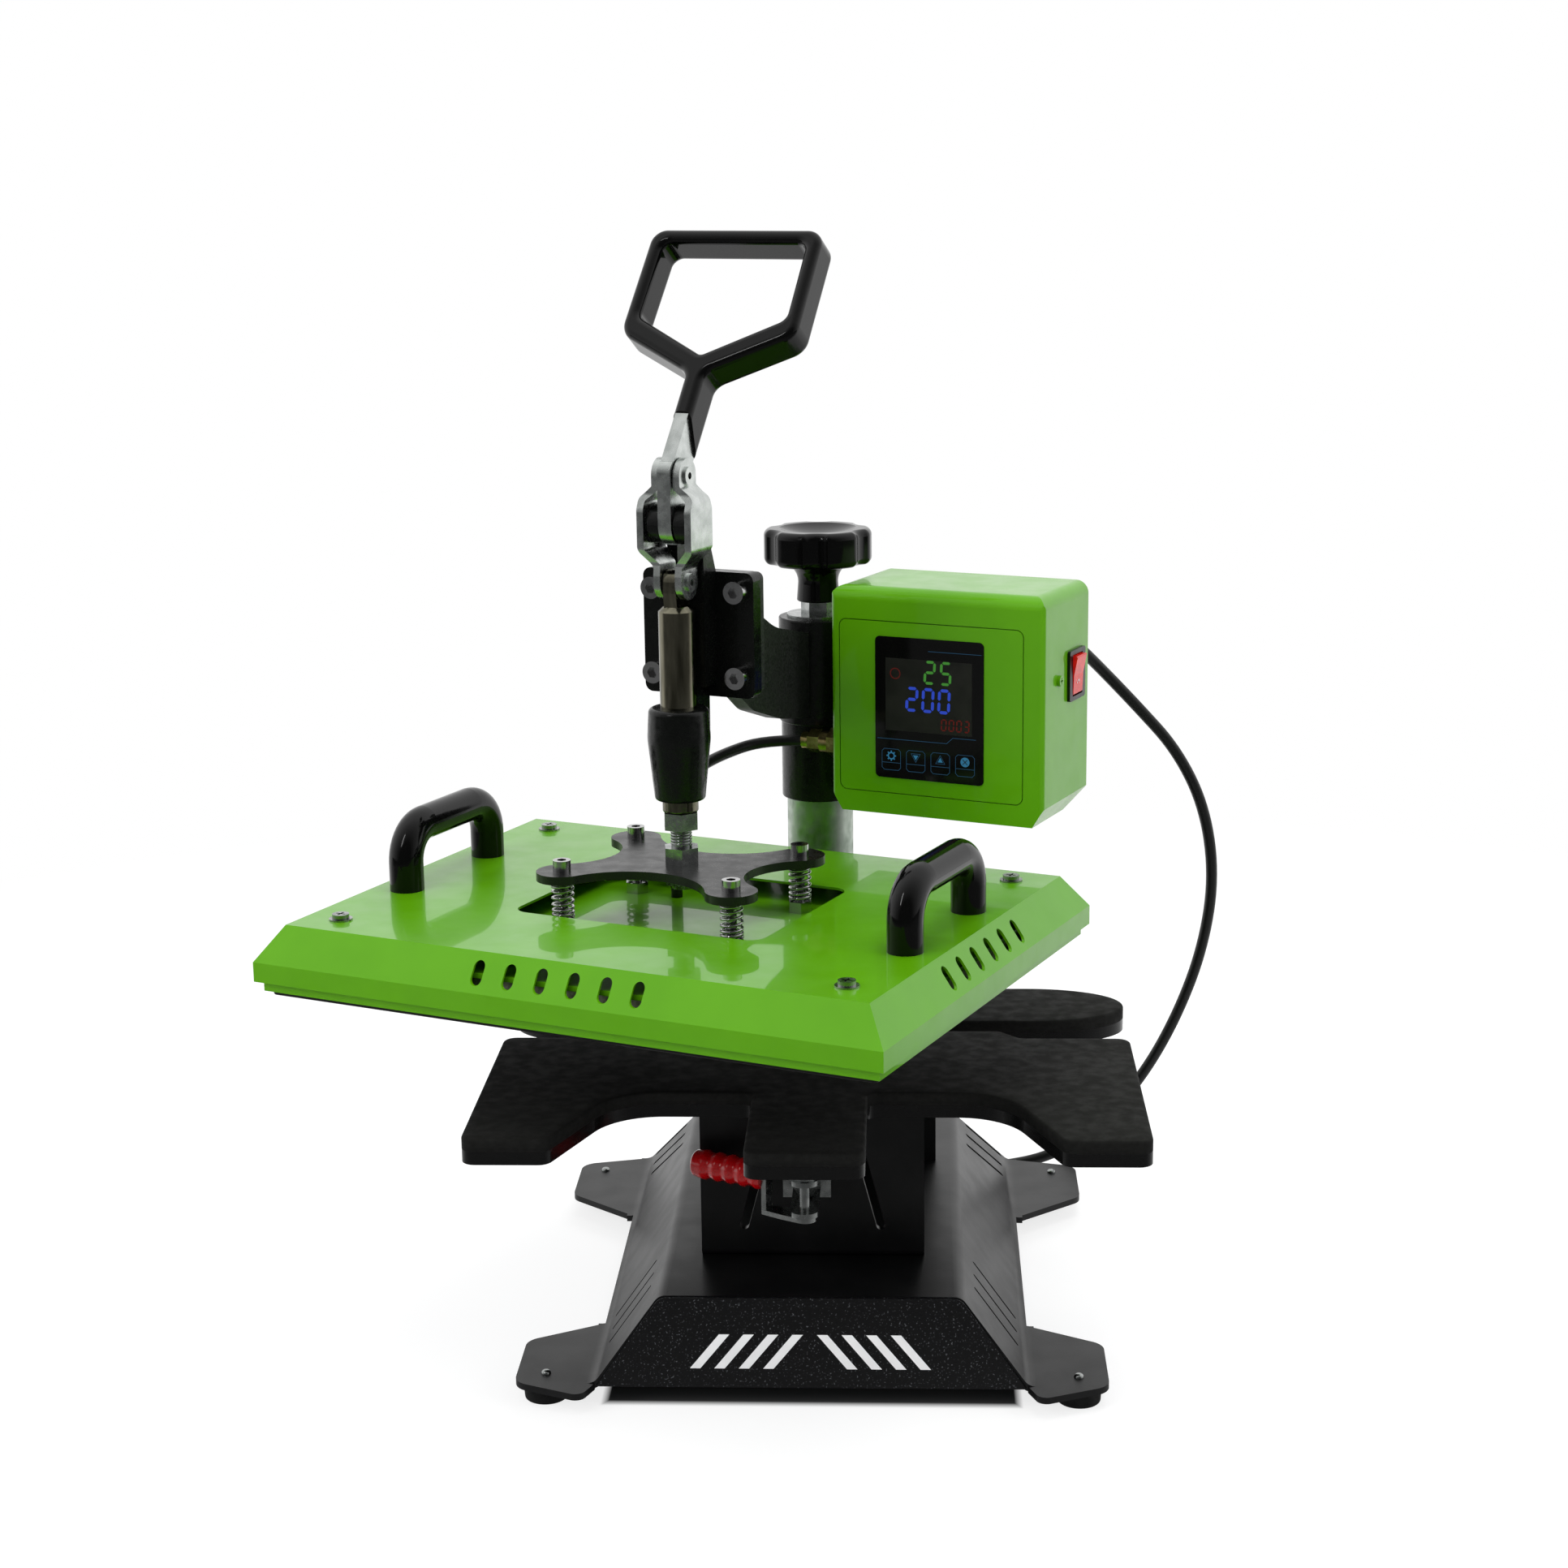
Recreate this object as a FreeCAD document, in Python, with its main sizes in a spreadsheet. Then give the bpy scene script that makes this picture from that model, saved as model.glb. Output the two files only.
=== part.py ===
import FreeCAD, Part
import math
import os
import Sketcher
from FreeCAD import Placement, Rotation, Vector

# Combo heat press with a swing-away head, in millimetres, +Z up, +Y away from the operator.
# The origin is on the floor plane, midway between the four feet.
# Everything on the head is drawn with the head straight over the base and its node
# is then turned about the post by rest_swing, the position in which the press stands.

os.makedirs("parts", exist_ok=True)
doc = FreeCAD.newDocument("combo_heat_press")
sheet = doc.addObject("Spreadsheet::Sheet", "sizes")
nodes = []

# The sizes of the press: plain numbers, and formulas of the sizes above them
sizes = {
    # Where the post and the press axis stand
    "post_back": 88.4,
    "reach": 188.1,
    "press_y": "=post_back - reach",
    "rest_swing": 23.63,

    # Base: one folded sheet with four tabs on rubber feet
    "foot_x": 154,
    "foot_y": 163,
    "foot_high": 10.3,
    "foot_wide": 27,
    "foot_taper": 1,
    "foot_bore": 5.5,
    "foot_bore_deep": 5,
    "foot_recess": 5.1,
    "foot_seat": 7.6,
    "foot_head_high": 2.2,
    "foot_head": 4.3,
    "foot_screw": 2,
    "sheet_thick": 4,
    "tab_top": "=foot_high + sheet_thick",
    "base_top": 68.7,
    "top_half": 86.3,
    "slope_half": 124.8,
    "fold_radius": 8,
    "fold_shift": "=sheet_thick * tan(atan((base_top - tab_top) / (slope_half - top_half)) / 2)",
    "slope_run": "=sheet_thick * (slope_half - top_half) / (base_top - tab_top)",
    "tab_root": 131,
    "tab_reach": 171,
    "tab_corner": 12,
    "tab_near": 118,
    "tab_far": 175,
    "front_tab_near": 92,
    "front_tab_far": 192.5,
    "rear_tab_near": 79,
    "rear_tab_far": 187,
    "front_y": -178,
    "panel_thick": 2,
    "rear_low": 187,
    "rear_run": 56,
    "slit_half": 1.25,
    "slit_low": 22,
    "slit_high": 56,
    "slit_pitch": 19,
    "front_slit_y": -97,
    "rear_slit_y": 103,
    "slit_lean": 35,

    # Front panel motif: slanting bars let into the panel, four on each side, leaning inwards
    "bar_first": 21,
    "bar_pitch": 14,
    "bar_wide": 6,
    "bar_lean": 17,
    "bar_low": 25,
    "bar_high": 46,
    "bar_deep": 1,

    # Bridge over the base that carries the two lower boards
    "bridge_y": -118,
    "bridge_half": 65.5,
    "bridge_thick": 4.5,
    "bridge_flange": 26,
    "support_y": 41,
    "support_half": 73.5,
    "board_low": 162.7,
    "board_thick": 7.5,
    "pad_thick": 7.9,
    "pad_low": "=board_low + board_thick",
    "pad_top": "=pad_low + pad_thick",
    "leg_slot_half": 2.65,
    "leg_slot_foot": 40,
    "leg_slot_head": 29.5,
    "leg_slot_low": 88.5,
    "leg_slot_high": 129,
    "board_screw_x": 48,
    "board_screw_front": -96,
    "board_screw_middle": -48,
    "board_screw_radius": 2.5,

    # Butterfly board outline
    "fly_half": 190,
    "fly_rear": -38.3,
    "fly_neck_rear": -24.6,
    "fly_neck_half": 112,
    "fly_step": 12,
    "fly_front": -217,
    "fly_wing": 142,
    "fly_cut_y": -138.5,
    "fly_cut_half": 111.5,
    "fly_cut_radius": 40,
    "fly_nose_half": 33,
    "fly_nose_y": -237.4,
    "board_corner": 8,

    # Oval board
    "oval_y": 28.5,
    "oval_half": 34.4,
    "oval_straight": 132,
    "oval_end": 59,

    # Post, its screw plug and the flange it stands on
    "post_radius": 21,
    "post_bore": 17,
    "post_top": 340,
    "post_weld": 1.6,
    "flange_radius": 38,
    "flange_thick": 6,
    "flange_top": "=base_top + flange_thick",
    "bolt_place": 21.5,
    "bolt_radius": 4,
    "bolt_across": 13,
    "bolt_head": 5.3,
    "plug_low": 296,
    "plug_high": 22,
    "shaft_play": 0.05,

    # Swing sleeve, guide bush and pressure screw
    "sleeve_low": 300,
    "sleeve_radius": 24.1,
    "hub_low": 349.2,
    "hub_radius": 25.2,
    "hub_top": 416.3,
    "sleeve_bore": 21.3,
    "bush_radius": 20,
    "bush_low": 322,
    "bush_flange_low": "=post_top + 2",
    "bush_flange_top": "=bush_flange_low + 4",
    "washer_thick": 1.6,
    "nut_across": 19,
    "screw_nut_high": 8,
    "screw_radius": 6,
    "knob_stem": 13.6,
    "knob_low": "=hub_top + washer_thick + screw_nut_high",
    "wheel_low": 449.5,
    "wheel_high": 22.5,
    "wheel_radius": 34,
    "scallop_radius": 13,
    "scallop_place": 44,

    # Head arm: an upright plate with an end plate
    "arm_half": 5,
    "arm_post_top": 403.5,
    "arm_dip_y": 16.5,
    "arm_dip_z": 420.2,
    "arm_root_y": 22.8,
    "arm_root_z": 362.2,
    "arm_belly_y": -15,
    "arm_belly_z": 374.5,
    "arm_chin_y": -31.9,
    "arm_chin_z": 386.4,
    "flange_y": "=press_y + 26.5",
    "casting_thick": 9,
    "arm_front": "=flange_y + casting_thick",
    "end_plate_thick": 8,
    "end_half": 36,
    "end_low": 394.5,
    "end_top": 468,

    # Toggle casting, barrel and ears
    "barrel_low": 338,
    "barrel_top": 392.3,
    "barrel_radius": 17.4,
    "barrel_bead": 18.4,
    "barrel_foot": 14.6,
    "plunger_radius": 10.5,
    "web_y": "=press_y + 12",
    "pivot_z": 498.3,
    "ear_inner": 5,
    "ear_outer": 11.7,
    "ear_radius": 11.25,
    "pivot_radius": 5,
    "flange_screw_x": 27,
    "flange_screw_low": 407.3,
    "flange_screw_high": 457.3,

    # Toggle linkage
    "crank": 27.7,
    "crank_z": "=pivot_z + crank",
    "link_length": 60.7,
    "low_pin_z": "=crank_z - link_length",
    "strip_thick": 4.2,
    "strip_half": 12,
    "lean_half": 10,
    "lean": 36,
    "bend_z": 527,
    "link_inner": 4.8,
    "link_thick": 4.2,
    "link_spread": 13.2,
    "pin_radius": 4,
    "eye_radius": 10,
    "link_neck": 9,
    "link_bulge": 13,
    "plunger_low": 330.5,
    "plunger_shoulder": "=low_pin_z - 14",
    "tongue_top": "=low_pin_z + 7",

    # Handle loop, in its own leaning plane: s runs up the lean from the bend
    "loop_half_wide": 11,
    "loop_band": 9,
    "loop_rim": 4.2,
    "loop_neck": 5.9,
    "loop_low_half": 52,
    "loop_top_half": 51,
    "loop_crotch": 66,
    "loop_low": 92,
    "loop_top": 152.4,
    "dip_rear": 14,
    "dip_front": 35,

    # Spider plate on the stud, spring bolts and springs
    "spider_low": 294.7,
    "spider_thick": 5,
    "spider_top": "=spider_low + spider_thick",
    "spring_x": 55,
    "spring_y": 44,
    "lobe_radius": 15,
    "front_hollow": 47.8,
    "side_hollow": 36.2,
    "stud_nut_high": 10,
    "inner_top": 265.3,
    "inner_thick": 3,
    "spring_nut_high": 6.5,
    "spring_low": "=inner_top + spring_nut_high",
    "spring_radius": 6,
    "wire_radius": 0.9,
    "spring_turns": 7,
    "spring_bolt_radius": 3,
    "spring_head_radius": 5.25,
    "spring_head_high": 6.5,

    # Heating platen and its cover
    "plate_half_x": 190,
    "plate_half_y": 145,
    "plate_low": 236.55,
    "plate_thick": 12,
    "plate_top": "=plate_low + plate_thick",
    "cover_top": 277.2,
    "cover_margin": 6.9,
    "cover_half_x": "=plate_half_x + cover_margin",
    "cover_half_y": "=plate_half_y + cover_margin",
    "cover_slope_run": 14,
    "cover_slope_low": 256.95,
    "cover_skirt_low": 245.45,
    "cover_sheet": 1.5,
    "cover_fold": "=cover_sheet * tan(atan((cover_top - cover_slope_low) / cover_slope_run) / 2)",
    "cover_bend": "=cover_sheet * tan(atan(cover_slope_run / (cover_top - cover_slope_low)) / 2)",
    "window_half_x": 80,
    "window_half_y": 60.5,
    "window_corner": 10,
    "vent_pitch": 20,
    "vent_half": 3.5,
    "vent_low": 260.5,
    "vent_high": 273,
    "frame_inset": 4,
    "frame_low": 239.5,
    "frame_thick": 1.6,
    "frame_lap": 12,
    "inner_margin": 4,
    "inner_half_x": "=plate_half_x - inner_margin",
    "inner_half_y": "=plate_half_y - inner_margin",
    "cover_screw_x": "=plate_half_x - 30",
    "cover_screw_y": "=plate_half_y - 28.7",
    "cover_screw_radius": 2.5,
    "handle_x": "=plate_half_x - 28",
    "handle_y": 45,
    "handle_radius": 10.25,
    "handle_top": 324,
    "handle_bend": 20,

    # Control box
    "box_left": 29.5,
    "box_right": 169.5,
    "box_front": 44,
    "box_rear": 119,
    "box_low": 303.3,
    "box_top": 443.8,
    "box_sheet": 1.5,
    "box_chamfer_x": 7,
    "box_chamfer_z": 11.5,
    "box_round": 8,
    "box_nose": 8,
    "box_edge": 3,
    "box_cut_y": 22,
    "box_cut_z": 11,
    "panel_left": 35,
    "panel_right": 156.5,
    "panel_low": 316.4,
    "panel_high": 424,
    "panel_corner": 5,
    "groove": 0.6,
    "display_left": 59.5,
    "display_right": 131,
    "display_low": 326.5,
    "display_high": 414.5,
    "standoff_radius": 2.5,
    "circuit_y": "=box_front + 12",
    "bezel_front": 83,
    "bezel_rear": 109.3,
    "bezel_low": 374,
    "bezel_high": 405.2,
    "bezel_proud": 2,
    "rocker_half_y": 8,
    "rocker_half_z": 12,
    "rocker_pin": 1.2,
    "side_screw_y": 68.2,
    "side_screw_high": 390,
    "side_screw_radius": 1.9,
    "gland_y": 54,
    "gland_z": 343,
    "cord_radius": 3.75,
    "heater_radius": 3.5,
    "heater_fall": 42.7,
    "cord_exit_x": 130,
    "cord_exit_z": 398,
    "relief_length": 24,

    # Coil of the put-away cord, on the floor behind the base
    "coil_x": -35,
    "coil_y": 247,
    "coil_radius": 49,
    "coil_pitch": 8.1,
    "coil_turns": 2,
    "coil_tail": 45,

    # Latch on the bridge's front leg
    "latch_x": -3,
    "latch_y": -158,
    "latch_z": 122,
    "latch_grip_z": 130.5,
    "latch_turn": 26,
    "latch_pin": 3,
    "latch_bolt": 5,
    "latch_arm_thick": 2.8,
    "latch_bar_half": 1.6,
    "latch_bar_high": 4,
    "latch_bar_stop": -60,
    "grip_start": -26.1,
    "grip_end": -72,
    "grip_wave": 8.9,
}
for row, (name, content) in enumerate(sizes.items(), 1):
    sheet.set("A%d" % row, name)
    sheet.set("B%d" % row, str(content))
    sheet.setAlias("B%d" % row, name)

doc.recompute()


def bound(text):
    """The text with each size's name pointing into the sheet."""
    words = []
    word = ""
    for letter in str(text) + " ":
        if letter.isalpha() or letter == "_":
            word += letter
            continue
        words.append("sizes." + word if word in sizes else word)
        words.append(letter)
        word = ""
    return "".join(words)


def value(text):
    """The number that an expression of sizes comes to."""
    found = sheet.evalExpression(bound(text))
    return float(getattr(found, "Value", found))


def hold(drawing, item, end, across, up):
    """Holds one point of a drawing at a place given by two expressions."""
    for kind, axis, place in (("DistanceX", -2, across), ("DistanceY", -1, up)):
        if str(place) == "0":
            drawing.addConstraint(Sketcher.Constraint("PointOnObject", item, end, axis))
            continue
        rule = drawing.addConstraint(Sketcher.Constraint(kind, -1, 1, item, end, value(place)))
        drawing.setExpression("Constraints[%d]" % rule, bound(place))


def hold_radius(drawing, item, radius):
    """Holds the radius of an arc or circle to an expression."""
    rule = drawing.addConstraint(Sketcher.Constraint("Radius", item, value(radius)))
    drawing.setExpression("Constraints[%d]" % rule, bound(radius))


def draw_circle(drawing, across, up, radius):
    """One circle in a drawing."""
    centre = Vector(value(across), value(up), 0)
    item = drawing.addGeometry(Part.Circle(centre, Vector(0, 0, 1), value(radius)))
    hold(drawing, item, 3, across, up)
    hold_radius(drawing, item, radius)


def draw_slot(drawing, start, stop, radius):
    """A slot with round ends about the line from start to stop."""
    first = Vector(value(start[0]), value(start[1]), 0)
    last = Vector(value(stop[0]), value(stop[1]), 0)
    run = last - first
    bearing = math.atan2(run.y, run.x)
    side = Vector(-math.sin(bearing), math.cos(bearing), 0) * value(radius)
    up_axis = Vector(0, 0, 1)
    quarter = math.pi / 2
    left = drawing.addGeometry(Part.LineSegment(last + side, first + side))
    right = drawing.addGeometry(Part.LineSegment(first - side, last - side))
    begin = Part.ArcOfCircle(
        Part.Circle(first, up_axis, value(radius)), bearing + quarter, bearing + 3 * quarter)
    end = Part.ArcOfCircle(
        Part.Circle(last, up_axis, value(radius)), bearing - quarter, bearing + quarter)
    begin = drawing.addGeometry(begin)
    end = drawing.addGeometry(end)
    for one, one_end, other, other_end in (
            (left, 2, begin, 1), (begin, 2, right, 1), (right, 2, end, 1), (end, 2, left, 1)):
        drawing.addConstraint(Sketcher.Constraint("Tangent", one, one_end, other, other_end))
    hold(drawing, begin, 3, start[0], start[1])
    hold(drawing, end, 3, stop[0], stop[1])
    hold_radius(drawing, begin, radius)


def draw_outline(drawing, corners):
    """A closed outline; a corner is (across, up) or (across, up, radius of its rounding)."""
    spots = [Vector(value(corner[0]), value(corner[1]), 0) for corner in corners]
    radii = [value(corner[2]) if len(corner) > 2 else 0 for corner in corners]
    count = len(corners)
    entries = []
    exits = []
    for at in range(count):
        back = (spots[at - 1] - spots[at]).normalize()
        ahead = (spots[(at + 1) % count] - spots[at]).normalize()
        reach = radii[at] / math.tan(back.getAngle(ahead) / 2) if radii[at] else 0
        entries.append(spots[at] + back * reach)
        exits.append(spots[at] + ahead * reach)
    lines = []
    for at in range(count):
        line = Part.LineSegment(exits[at], entries[(at + 1) % count])
        lines.append(drawing.addGeometry(line))
    for at in range(count):
        before = lines[at - 1]
        after = lines[at]
        if not radii[at]:
            drawing.addConstraint(Sketcher.Constraint("Coincident", before, 2, after, 1))
            hold(drawing, after, 1, corners[at][0], corners[at][1])
            continue
        back = (entries[at] - spots[at]).normalize()
        ahead = (exits[at] - spots[at]).normalize()
        opening = back.getAngle(ahead)
        centre = spots[at] + (back + ahead).normalize() * (radii[at] / math.sin(opening / 2))
        inward = entries[at] - centre
        outward = exits[at] - centre
        turns_left = (back * -1).cross(ahead).z > 0
        first, last = (inward, outward) if turns_left else (outward, inward)
        circle = Part.Circle(centre, Vector(0, 0, 1), radii[at])
        arc = drawing.addGeometry(Part.ArcOfCircle(
            circle, math.atan2(first.y, first.x), math.atan2(last.y, last.x)))
        begin, end = (1, 2) if turns_left else (2, 1)
        drawing.addConstraint(Sketcher.Constraint("Tangent", before, 2, arc, begin))
        drawing.addConstraint(Sketcher.Constraint("Tangent", arc, end, after, 1))
        hold_radius(drawing, arc, corners[at][2])
        corner = drawing.addGeometry(Part.Point(spots[at]), True)
        hold(drawing, corner, 1, corners[at][0], corners[at][1])
        drawing.addConstraint(Sketcher.Constraint("PointOnObject", corner, 1, before))
        drawing.addConstraint(Sketcher.Constraint("PointOnObject", corner, 1, after))


def drawing_on(body, plane, shapes, level):
    """A drawing on one of the body's planes, set at a level along that plane's axis."""
    drawing = body.newObject("Sketcher::SketchObject", body.Name + "_drawing")
    faces = [face for face in body.Origin.OriginFeatures if face.Role == plane + "_Plane"]
    drawing.AttachmentSupport = [(faces[0], "")]
    drawing.MapMode = "FlatFace"
    sign = "-" if plane == "XZ" else ""
    drawing.setExpression("AttachmentOffset.Base.z", bound("%s(%s)" % (sign, level)))
    for shape in shapes:
        if shape[0] == "circle":
            draw_circle(drawing, *shape[1:])
        elif shape[0] == "slot":
            draw_slot(drawing, *shape[1:])
        else:
            draw_outline(drawing, shape)
    return drawing


def pad(body, plane, shapes, start, stop):
    """Adds material to a body between two levels along the plane's axis."""
    made = body.newObject("PartDesign::Pad", body.Name + "_pad")
    made.Profile = drawing_on(body, plane, shapes, stop if plane == "XZ" else start)
    made.setExpression("Length", bound("(%s) - (%s)" % (stop, start)))
    doc.recompute()
    return body


def pocket(body, plane, shapes, start, stop):
    """Cuts material from a body between two levels along the plane's axis."""
    before = body.Shape.Volume
    drawing = drawing_on(body, plane, shapes, start if plane == "XZ" else stop)
    made = body.newObject("PartDesign::Pocket", body.Name + "_pocket")
    made.Profile = drawing
    made.setExpression("Length", bound("(%s) - (%s)" % (stop, start)))
    doc.recompute()
    if body.Shape.Volume > before - 0.01:
        raise RuntimeError("a pocket of %s cuts nothing" % body.Label)
    return body


def slab(label, plane, shapes, start, stop):
    """A new body padded between two levels."""
    body = doc.addObject("PartDesign::Body", label)
    return pad(body, plane, shapes, start, stop)


def turned(label, corners):
    """A new body turned about its own upright axis from a half section (radius, height)."""
    body = doc.addObject("PartDesign::Body", label)
    drawing = drawing_on(body, "XZ", [corners], "0")
    made = body.newObject("PartDesign::Revolution", label + "_turn")
    made.Profile = drawing
    made.ReferenceAxis = (drawing, ["V_Axis"])
    made.Angle = 360
    doc.recompute()
    return body


def rounded(body, radius, wanted):
    """Rounds those edges of a body that wanted() picks."""
    tip = body.Tip
    picked = []
    for number, edge in enumerate(tip.Shape.Edges, 1):
        if wanted(edge):
            picked.append("Edge%d" % number)
    made = body.newObject("PartDesign::Fillet", body.Name + "_round")
    made.Base = (tip, picked)
    made.setExpression("Radius", bound(radius))
    doc.recompute()
    return body


def upright(edge):
    """True for a straight edge along Z."""
    if len(edge.Vertexes) < 2:
        return False
    run = edge.Vertexes[1].Point - edge.Vertexes[0].Point
    return abs(run.x) < 0.01 and abs(run.y) < 0.01


TURNS = {
    "Z": Rotation(),
    "X": Rotation(Vector(0, 1, 0), 90),
    "Y": Rotation(Vector(1, 0, 0), -90),
}


def put(made, across="0", along="0", up="0", turn=None):
    """Sets an object down at a place given by three expressions."""
    made.Placement = Placement(Vector(value(across), value(along), value(up)), turn or Rotation())
    for axis, place in (("x", across), ("y", along), ("z", up)):
        made.setExpression("Placement.Base." + axis, bound(place))
    return made


def block(left, right, front, rear, low, top):
    """A box between six levels."""
    made = doc.addObject("Part::Box", "block")
    made.setExpression("Length", bound("(%s) - (%s)" % (right, left)))
    made.setExpression("Width", bound("(%s) - (%s)" % (rear, front)))
    made.setExpression("Height", bound("(%s) - (%s)" % (top, low)))
    return put(made, left, front, low)


def rod(radius, start, stop, across="0", along="0", axis="Z"):
    """A cylinder along an axis from start to stop; the other two places are given in order."""
    made = doc.addObject("Part::Cylinder", "rod")
    made.setExpression("Radius", bound(radius))
    made.setExpression("Height", bound("(%s) - (%s)" % (stop, start)))
    if axis == "X":
        return put(made, start, across, along, TURNS["X"])
    if axis == "Y":
        return put(made, across, start, along, TURNS["Y"])
    return put(made, across, along, start)


def hexagon(flats, start, stop, across="0", along="0", axis="Z"):
    """A hexagonal prism, laid like a rod."""
    made = doc.addObject("Part::Prism", "hexagon")
    made.Polygon = 6
    made.setExpression("Circumradius", bound("(%s) / 2 / cos(30)" % flats))
    made.setExpression("Height", bound("(%s) - (%s)" % (stop, start)))
    if axis == "X":
        return put(made, start, across, along, TURNS["X"])
    if axis == "Y":
        return put(made, across, start, along, TURNS["Y"])
    return put(made, across, along, start)


def joined(label, pieces):
    """One solid out of several."""
    made = doc.addObject("Part::MultiFuse", label)
    made.Shapes = pieces
    made.Refine = True
    return made


def cut(label, base, tools):
    """A piece with others taken out of it."""
    made = doc.addObject("Part::Cut", label)
    made.Base = base
    made.Tool = tools[0] if len(tools) == 1 else joined(label + "_tools", tools)
    made.Refine = True
    return made


def common(label, one, other):
    """What two pieces share."""
    made = doc.addObject("Part::Common", label)
    made.Base = one
    made.Tool = other
    return made


def mirrored(source, axis, plane="0"):
    """A mirror image across the plane at that place on the x or y axis."""
    made = doc.addObject("Part::Mirroring", source.Name + "_mirror")
    made.Source = source
    made.Normal = Vector(1, 0, 0) if axis == "x" else Vector(0, 1, 0)
    made.setExpression("Base." + axis, bound(plane))
    return made


def node(label, pieces, swung=False):
    """One node of the press; a swung one is turned about the post with the head."""
    made = doc.addObject("Part::Compound", label)
    made.Links = pieces
    if swung:
        made.setExpression("Placement.Rotation.Angle", bound("-rest_swing"))
        made.setExpression("Placement.Base.x", bound("-post_back * sin(rest_swing)"))
        made.setExpression("Placement.Base.y", bound("post_back * (1 - cos(rest_swing))"))
    nodes.append(made)
    return made


def feature(label, shape):
    """A piece whose shape is worked out here from the sheet's numbers."""
    made = doc.addObject("Part::Feature", label)
    made.Shape = shape
    return made


# Base shell: the folded sheet, its tabs and the side slits
low_fold = ("slope_half", "tab_top", "fold_radius")
low_fold_under = ("slope_half - fold_shift", "foot_high", "fold_radius + sheet_thick")
high_fold = ("top_half", "base_top", "fold_radius")
high_fold_under = ("top_half - fold_shift", "base_top - sheet_thick", "fold_radius - sheet_thick")
section = [
    ("tab_root", "foot_high"),
    ("tab_root", "tab_top"),
    low_fold,
    high_fold,
    ("-top_half", "base_top", "fold_radius"),
    ("-slope_half", "tab_top", "fold_radius"),
    ("-tab_root", "tab_top"),
    ("-tab_root", "foot_high"),
    ("-slope_half + fold_shift", "foot_high", "fold_radius + sheet_thick"),
    ("-top_half + fold_shift", "base_top - sheet_thick", "fold_radius - sheet_thick"),
    high_fold_under,
    low_fold_under,
]
shell = slab("shell_body", "XZ", [section], "front_y + panel_thick", "rear_low")
behind = [
    ("rear_low", "0"),
    ("rear_low", "tab_top"),
    ("rear_low - rear_run", "base_top"),
    ("rear_low - rear_run", "base_top + 9"),
    ("rear_low + 9", "base_top + 9"),
    ("rear_low + 9", "0"),
]
pocket(shell, "YZ", [behind], "-tab_reach", "tab_reach")
for side in ("", "-"):
    gap = [
        (side + "(slope_half + 2)", "-front_tab_near - 1"),
        (side + "tab_reach", "-front_tab_near - 1"),
        (side + "tab_reach", "rear_tab_near + 1"),
        (side + "(slope_half + 2)", "rear_tab_near + 1"),
    ]
    pocket(shell, "XY", [gap], "0", "base_top")
    front_tab = [
        (side + "(slope_half + 1)", "-front_tab_near", "1"),
        (side + "tab_reach", "-tab_near", "tab_corner"),
        (side + "tab_reach", "-tab_far", "tab_corner"),
        (side + "tab_root", "-front_tab_far", "tab_corner / 2"),
        (side + "(slope_half - 0.5)", "front_y + panel_thick"),
    ]
    rear_tab = [
        (side + "(slope_half + 1)", "rear_tab_near", "1"),
        (side + "tab_reach", "tab_near", "tab_corner"),
        (side + "tab_reach", "tab_far", "tab_corner"),
        (side + "(slope_half + 2)", "rear_tab_far", "1"),
    ]
    pad(shell, "XY", [front_tab], "foot_high", "tab_top")
    pad(shell, "XY", [rear_tab], "foot_high", "tab_top")
slits = []
for number in range(3):
    front_at = "front_slit_y - %d * slit_pitch" % number
    rear_at = "rear_slit_y + %d * slit_pitch" % number
    slits.append(("slot", (front_at, "slit_low"), (front_at, "slit_high"), "slit_half"))
    slits.append(
        ("slot", (rear_at + " + slit_lean", "slit_low"), (rear_at, "slit_high"), "slit_half"))
pocket(shell, "YZ", slits, "-tab_reach", "tab_reach")
holes = [("circle", "0", "post_back", "post_bore - 3")]
for x in ("foot_x", "-foot_x"):
    for y in ("foot_y", "-foot_y"):
        holes.append(("circle", x, y, "foot_screw + shaft_play"))
for x in ("bolt_place", "-bolt_place"):
    for y in ("bolt_place", "-bolt_place"):
        holes.append(("circle", x, "post_back + " + y, "bolt_radius + shaft_play"))
pocket(shell, "XY", holes, "0", "base_top")
node("base_shell", [shell])

# Front panel: an upright sheet with its motif bars let in flush
panel_edge = [
    ("slope_half - 1.5", "tab_top - 1"),
    ("top_half - 0.5", "base_top - 0.5", "fold_radius"),
    ("-top_half + 0.5", "base_top - 0.5", "fold_radius"),
    ("-slope_half + 1.5", "tab_top - 1"),
]
panel = slab("panel_body", "XZ", [panel_edge], "front_y", "front_y + panel_thick")
bars = []
for side in ("", "-"):
    for number in range(4):
        edge = "bar_first + %d * bar_pitch" % number
        bars.append([
            (side + "(" + edge + ")", "bar_low"),
            (side + "(" + edge + " + bar_wide)", "bar_low"),
            (side + "(" + edge + " + bar_wide - bar_lean)", "bar_high"),
            (side + "(" + edge + " - bar_lean)", "bar_high"),
        ])
pocket(panel, "XZ", bars, "front_y", "front_y + bar_deep")
node("front_panel", [panel])
node("panel_inlay", [
    slab("bar_%d" % number, "XZ", [bar], "front_y", "front_y + bar_deep")
    for number, bar in enumerate(bars)])

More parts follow.
